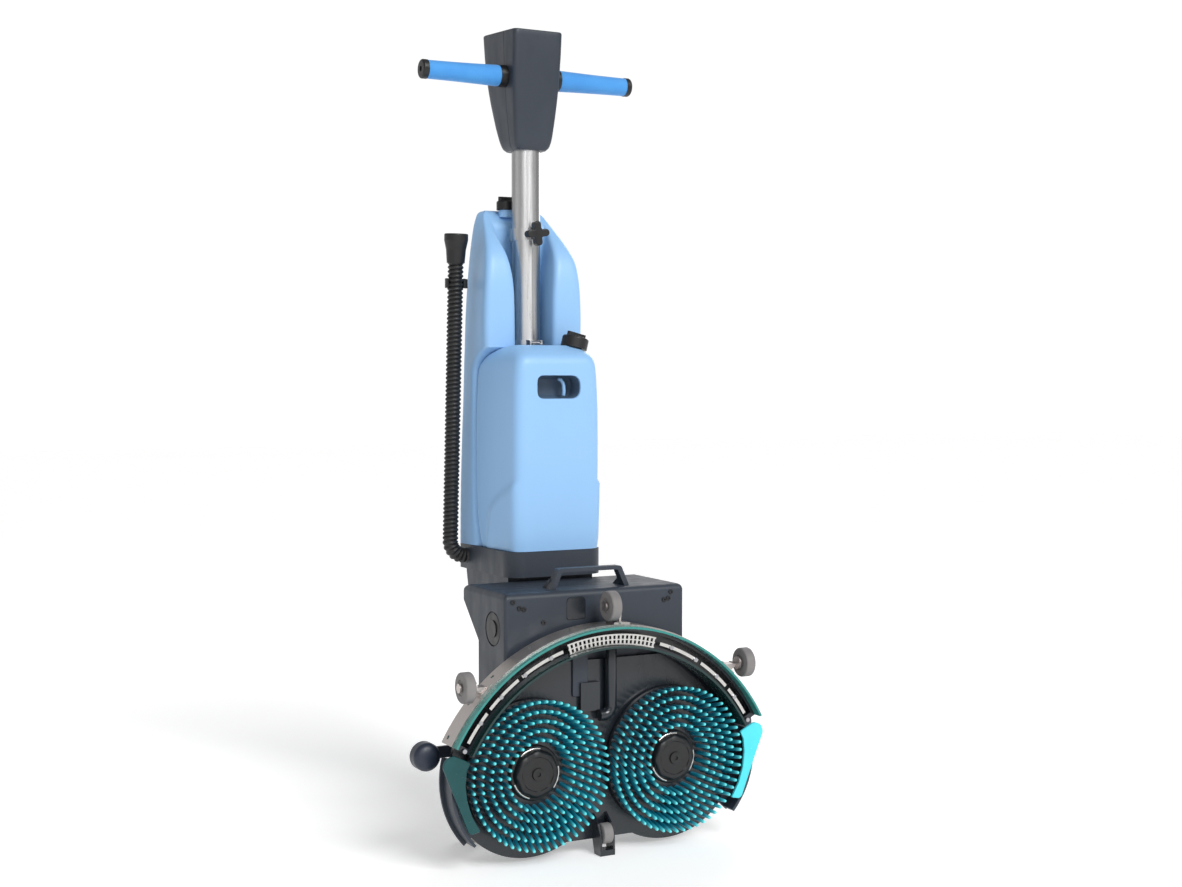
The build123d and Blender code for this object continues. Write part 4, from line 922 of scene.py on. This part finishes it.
def makeHub(side):
    cx, cz = hubAxis(side)
    near, far = hub["lobed"]
    verts = []
    for r, y in hub["profile"]:
        depth = hub["lobeDepth"] if near < r < far else 0
        for k in range(hub["sides"]):
            a = 2 * pi * k / hub["sides"]
            wave = 1 + depth * cos(hub["lobes"] * a)
            verts.append(spot(cx + r * wave * cos(a), y, cz + r * wave * sin(a)))
    faces = ringFaces(hub["sides"], len(hub["profile"]))
    radius, front, rear = hub["shaft"]
    shaft = [spot(cx, front, cz), spot(cx, rear, cz)]
    addForm(verts, faces, tubeAlong(shaft, (radius * mm, radius * mm), 24))
    makePiece(f"{side}HubCap", verts, faces, finish["blackPlastic"], f"{side}_brush",
              "black_plastic", (f"{side}_brush_hub",), 30)


def makeHubHighlightArcs(side):
    # painted highlight: three bright steel arcs round each hub stand in for the glints on the cap's
    # curved edges
    cx, cz = hubAxis(side)
    verts, faces = [], []
    steps = hub["slotSteps"]
    for a0, a1 in hub["slots"]:
        line = []
        for k in range(steps + 1):
            a = radians(a0 + (a1 - a0) * k / steps)
            line.append(spot(cx + hub["slotR"] * cos(a), hub["slotY"], cz + hub["slotR"] * sin(a)))
        addForm(verts, faces, tubeAlong(line, [hub["slotRadius"] * mm] * len(line), 12))
    makePiece(f"{side}HubHighlightArcs", verts, faces, finish["brightStrip"], f"{side}_brush", "strip_metal")


for side in ("left", "right"):
    makeHub(side)
    makeHubHighlightArcs(side)
print("hubs ready")


def arcBlock(verts, faces, r0, r1, a0, a1, y0, y1, steps):
    # a curved bar of the arch, with angles in degrees from its top
    start = len(verts)
    for k in range(steps + 1):
        a = radians(a0 + (a1 - a0) * k / steps)
        for r, y in ((r0, y0), (r1, y0), (r1, y1), (r0, y1)):
            verts.append(spot(r * sin(a), y, arch["centreZ"] + r * cos(a)))
    for k in range(steps):
        b = start + k * 4
        faces += [(b + i, b + (i + 1) % 4, b + 4 + (i + 1) % 4, b + 4 + i) for i in range(4)]
    faces += [tuple(start + i for i in range(4)), tuple(start + steps * 4 + i for i in range(4))]


def makeChannel():
    verts, faces = [], []
    y0, y1 = arch["front"]
    for a0, a1 in arch["strips"]:
        for s in (-1, 1):
            arcBlock(verts, faces, *arch["stripR"], s * a0, s * a1, y0, y1, 14)
    half, slots = arch["grille"]
    for r0, r1 in arch["rails"]:
        arcBlock(verts, faces, r0, r1, -half - 0.6, half + 0.6, y0, y1, 30)
    pitch = 2 * half / slots
    for k in range(slots + 1):
        a = -half + k * pitch
        for (_, inner), (outer, _) in zip(arch["rails"], arch["rails"][1:]):
            arcBlock(verts, faces, inner - 0.2, outer + 0.2, a - pitch * 0.24, a + pitch * 0.24,
                     y0, y1 + 0.2, 1)
    makePiece("channelStrips", verts, faces, finish["brightStrip"], "squeegee", "strip_metal",
              ("channel_strips",), 30)


pipe = {
    "x": 14,
    "y": -244.6,
    "heights": (290, 288, 270, 250, 230, 210),
    "cornerZ": 196,
    "bend": 13,
    "steps": 8,
    "lead": 6,                  # how far it runs on to the left past the bend
    "radius": (7.2, 8),         # at its top end and below
}


def makeSuctionPipe():
    x, y = pipe["x"], pipe["y"]
    corner, r = spot(x, y, pipe["cornerZ"]), pipe["bend"] * mm
    down, left = Vector((0, 0, -1)), Vector((-1, 0, 0))
    start, stop = corner - down * r, corner + left * r
    centre = start + left * r
    line = [spot(x, y, z) for z in pipe["heights"]]
    for k in range(pipe["steps"] + 1):
        turn = Matrix.Rotation(radians(90 * k / pipe["steps"]), 3, down.cross(left))
        line.append(centre + turn @ (start - centre))
    line.append(stop + left * pipe["lead"] * mm)
    end, body = (v * mm for v in pipe["radius"])
    radii = [end] + [body] * (len(line) - 1)
    makePiece("suctionPipe", *tubeAlong(line, radii, 28), finish["darkGloss"], "deck",
              "black_plastic", ("suction_pipe",), 40)


makeChannel()
makeSuctionPipe()
print("channel ready")


skirt = {
    "centre": (109, 127),
    "innerR": 112,
    "innerTurns": (-36, -24, -12, 0, 10),       # degrees, round the edge that follows the brush
    "outer": ((214, 156, 3), (238, 168, 4), (249, 164, 4), (254, 154, 6), (215, 58, 6)),
    "front": (-267.5, -271),
}
# painted shadow: a dark gloss patch on the box front where the top roller's shadow falls
rollerShadowPatch = {
    "corners": ((-48, 331, 4), (-18, 331, 4), (-18, 363, 8), (-48, 363, 8)),
    "front": (-227.5, -229.2),
}
cover = {
    "corners": ((-44, 224, 3), (-20, 224, 3), (-20, 288, 3), (-44, 288, 3)),
    "front": (-235.5, -239),
}


def makePlate(name, corners, front, material, slot, stands=()):
    # a flat plate on the deck facing forward, its corners rounded and its front edge eased
    y0, y1 = front
    soft = 0.8
    verts = []
    ring = roundedRing(corners, 6, 3)
    middle = sum(ring, Vector((0, 0))) / len(ring)
    for y, inset in ((y0, 0), (y1 + soft, 0), (y1, soft)):
        for p in ring:
            q = p + (middle - p).normalized() * inset
            verts.append(spot(q.x, y, q.y))
    makePiece(name, verts, ringFaces(len(ring), 3), material, "deck", slot, stands, 35)


def skirtCorners(sign):
    (x, z), r = skirt["centre"], skirt["innerR"]
    inner = [(x + r * cos(radians(a)), z + r * sin(radians(a)), 2) for a in skirt["innerTurns"]]
    return [(sign * px, pz, soft) for px, pz, soft in inner + list(skirt["outer"])]


# the right skirt takes the painted lit copy and the left the painted shade copy of one rubber
makePlate("rightSkirt", skirtCorners(1), skirt["front"], finish["litSkirtRubber"], "skirt_teal",
          ("side_skirts",))
makePlate("leftSkirt", skirtCorners(-1), skirt["front"], finish["shadedLeftSkirtRubber"], "skirt_teal")
makePlate("boxRollerShadow", rollerShadowPatch["corners"], rollerShadowPatch["front"], finish["darkGloss"], "slate_plastic")
makePlate("channelCover", cover["corners"], cover["front"], finish["slatePlastic"],
          "slate_plastic")
print("skirts ready")
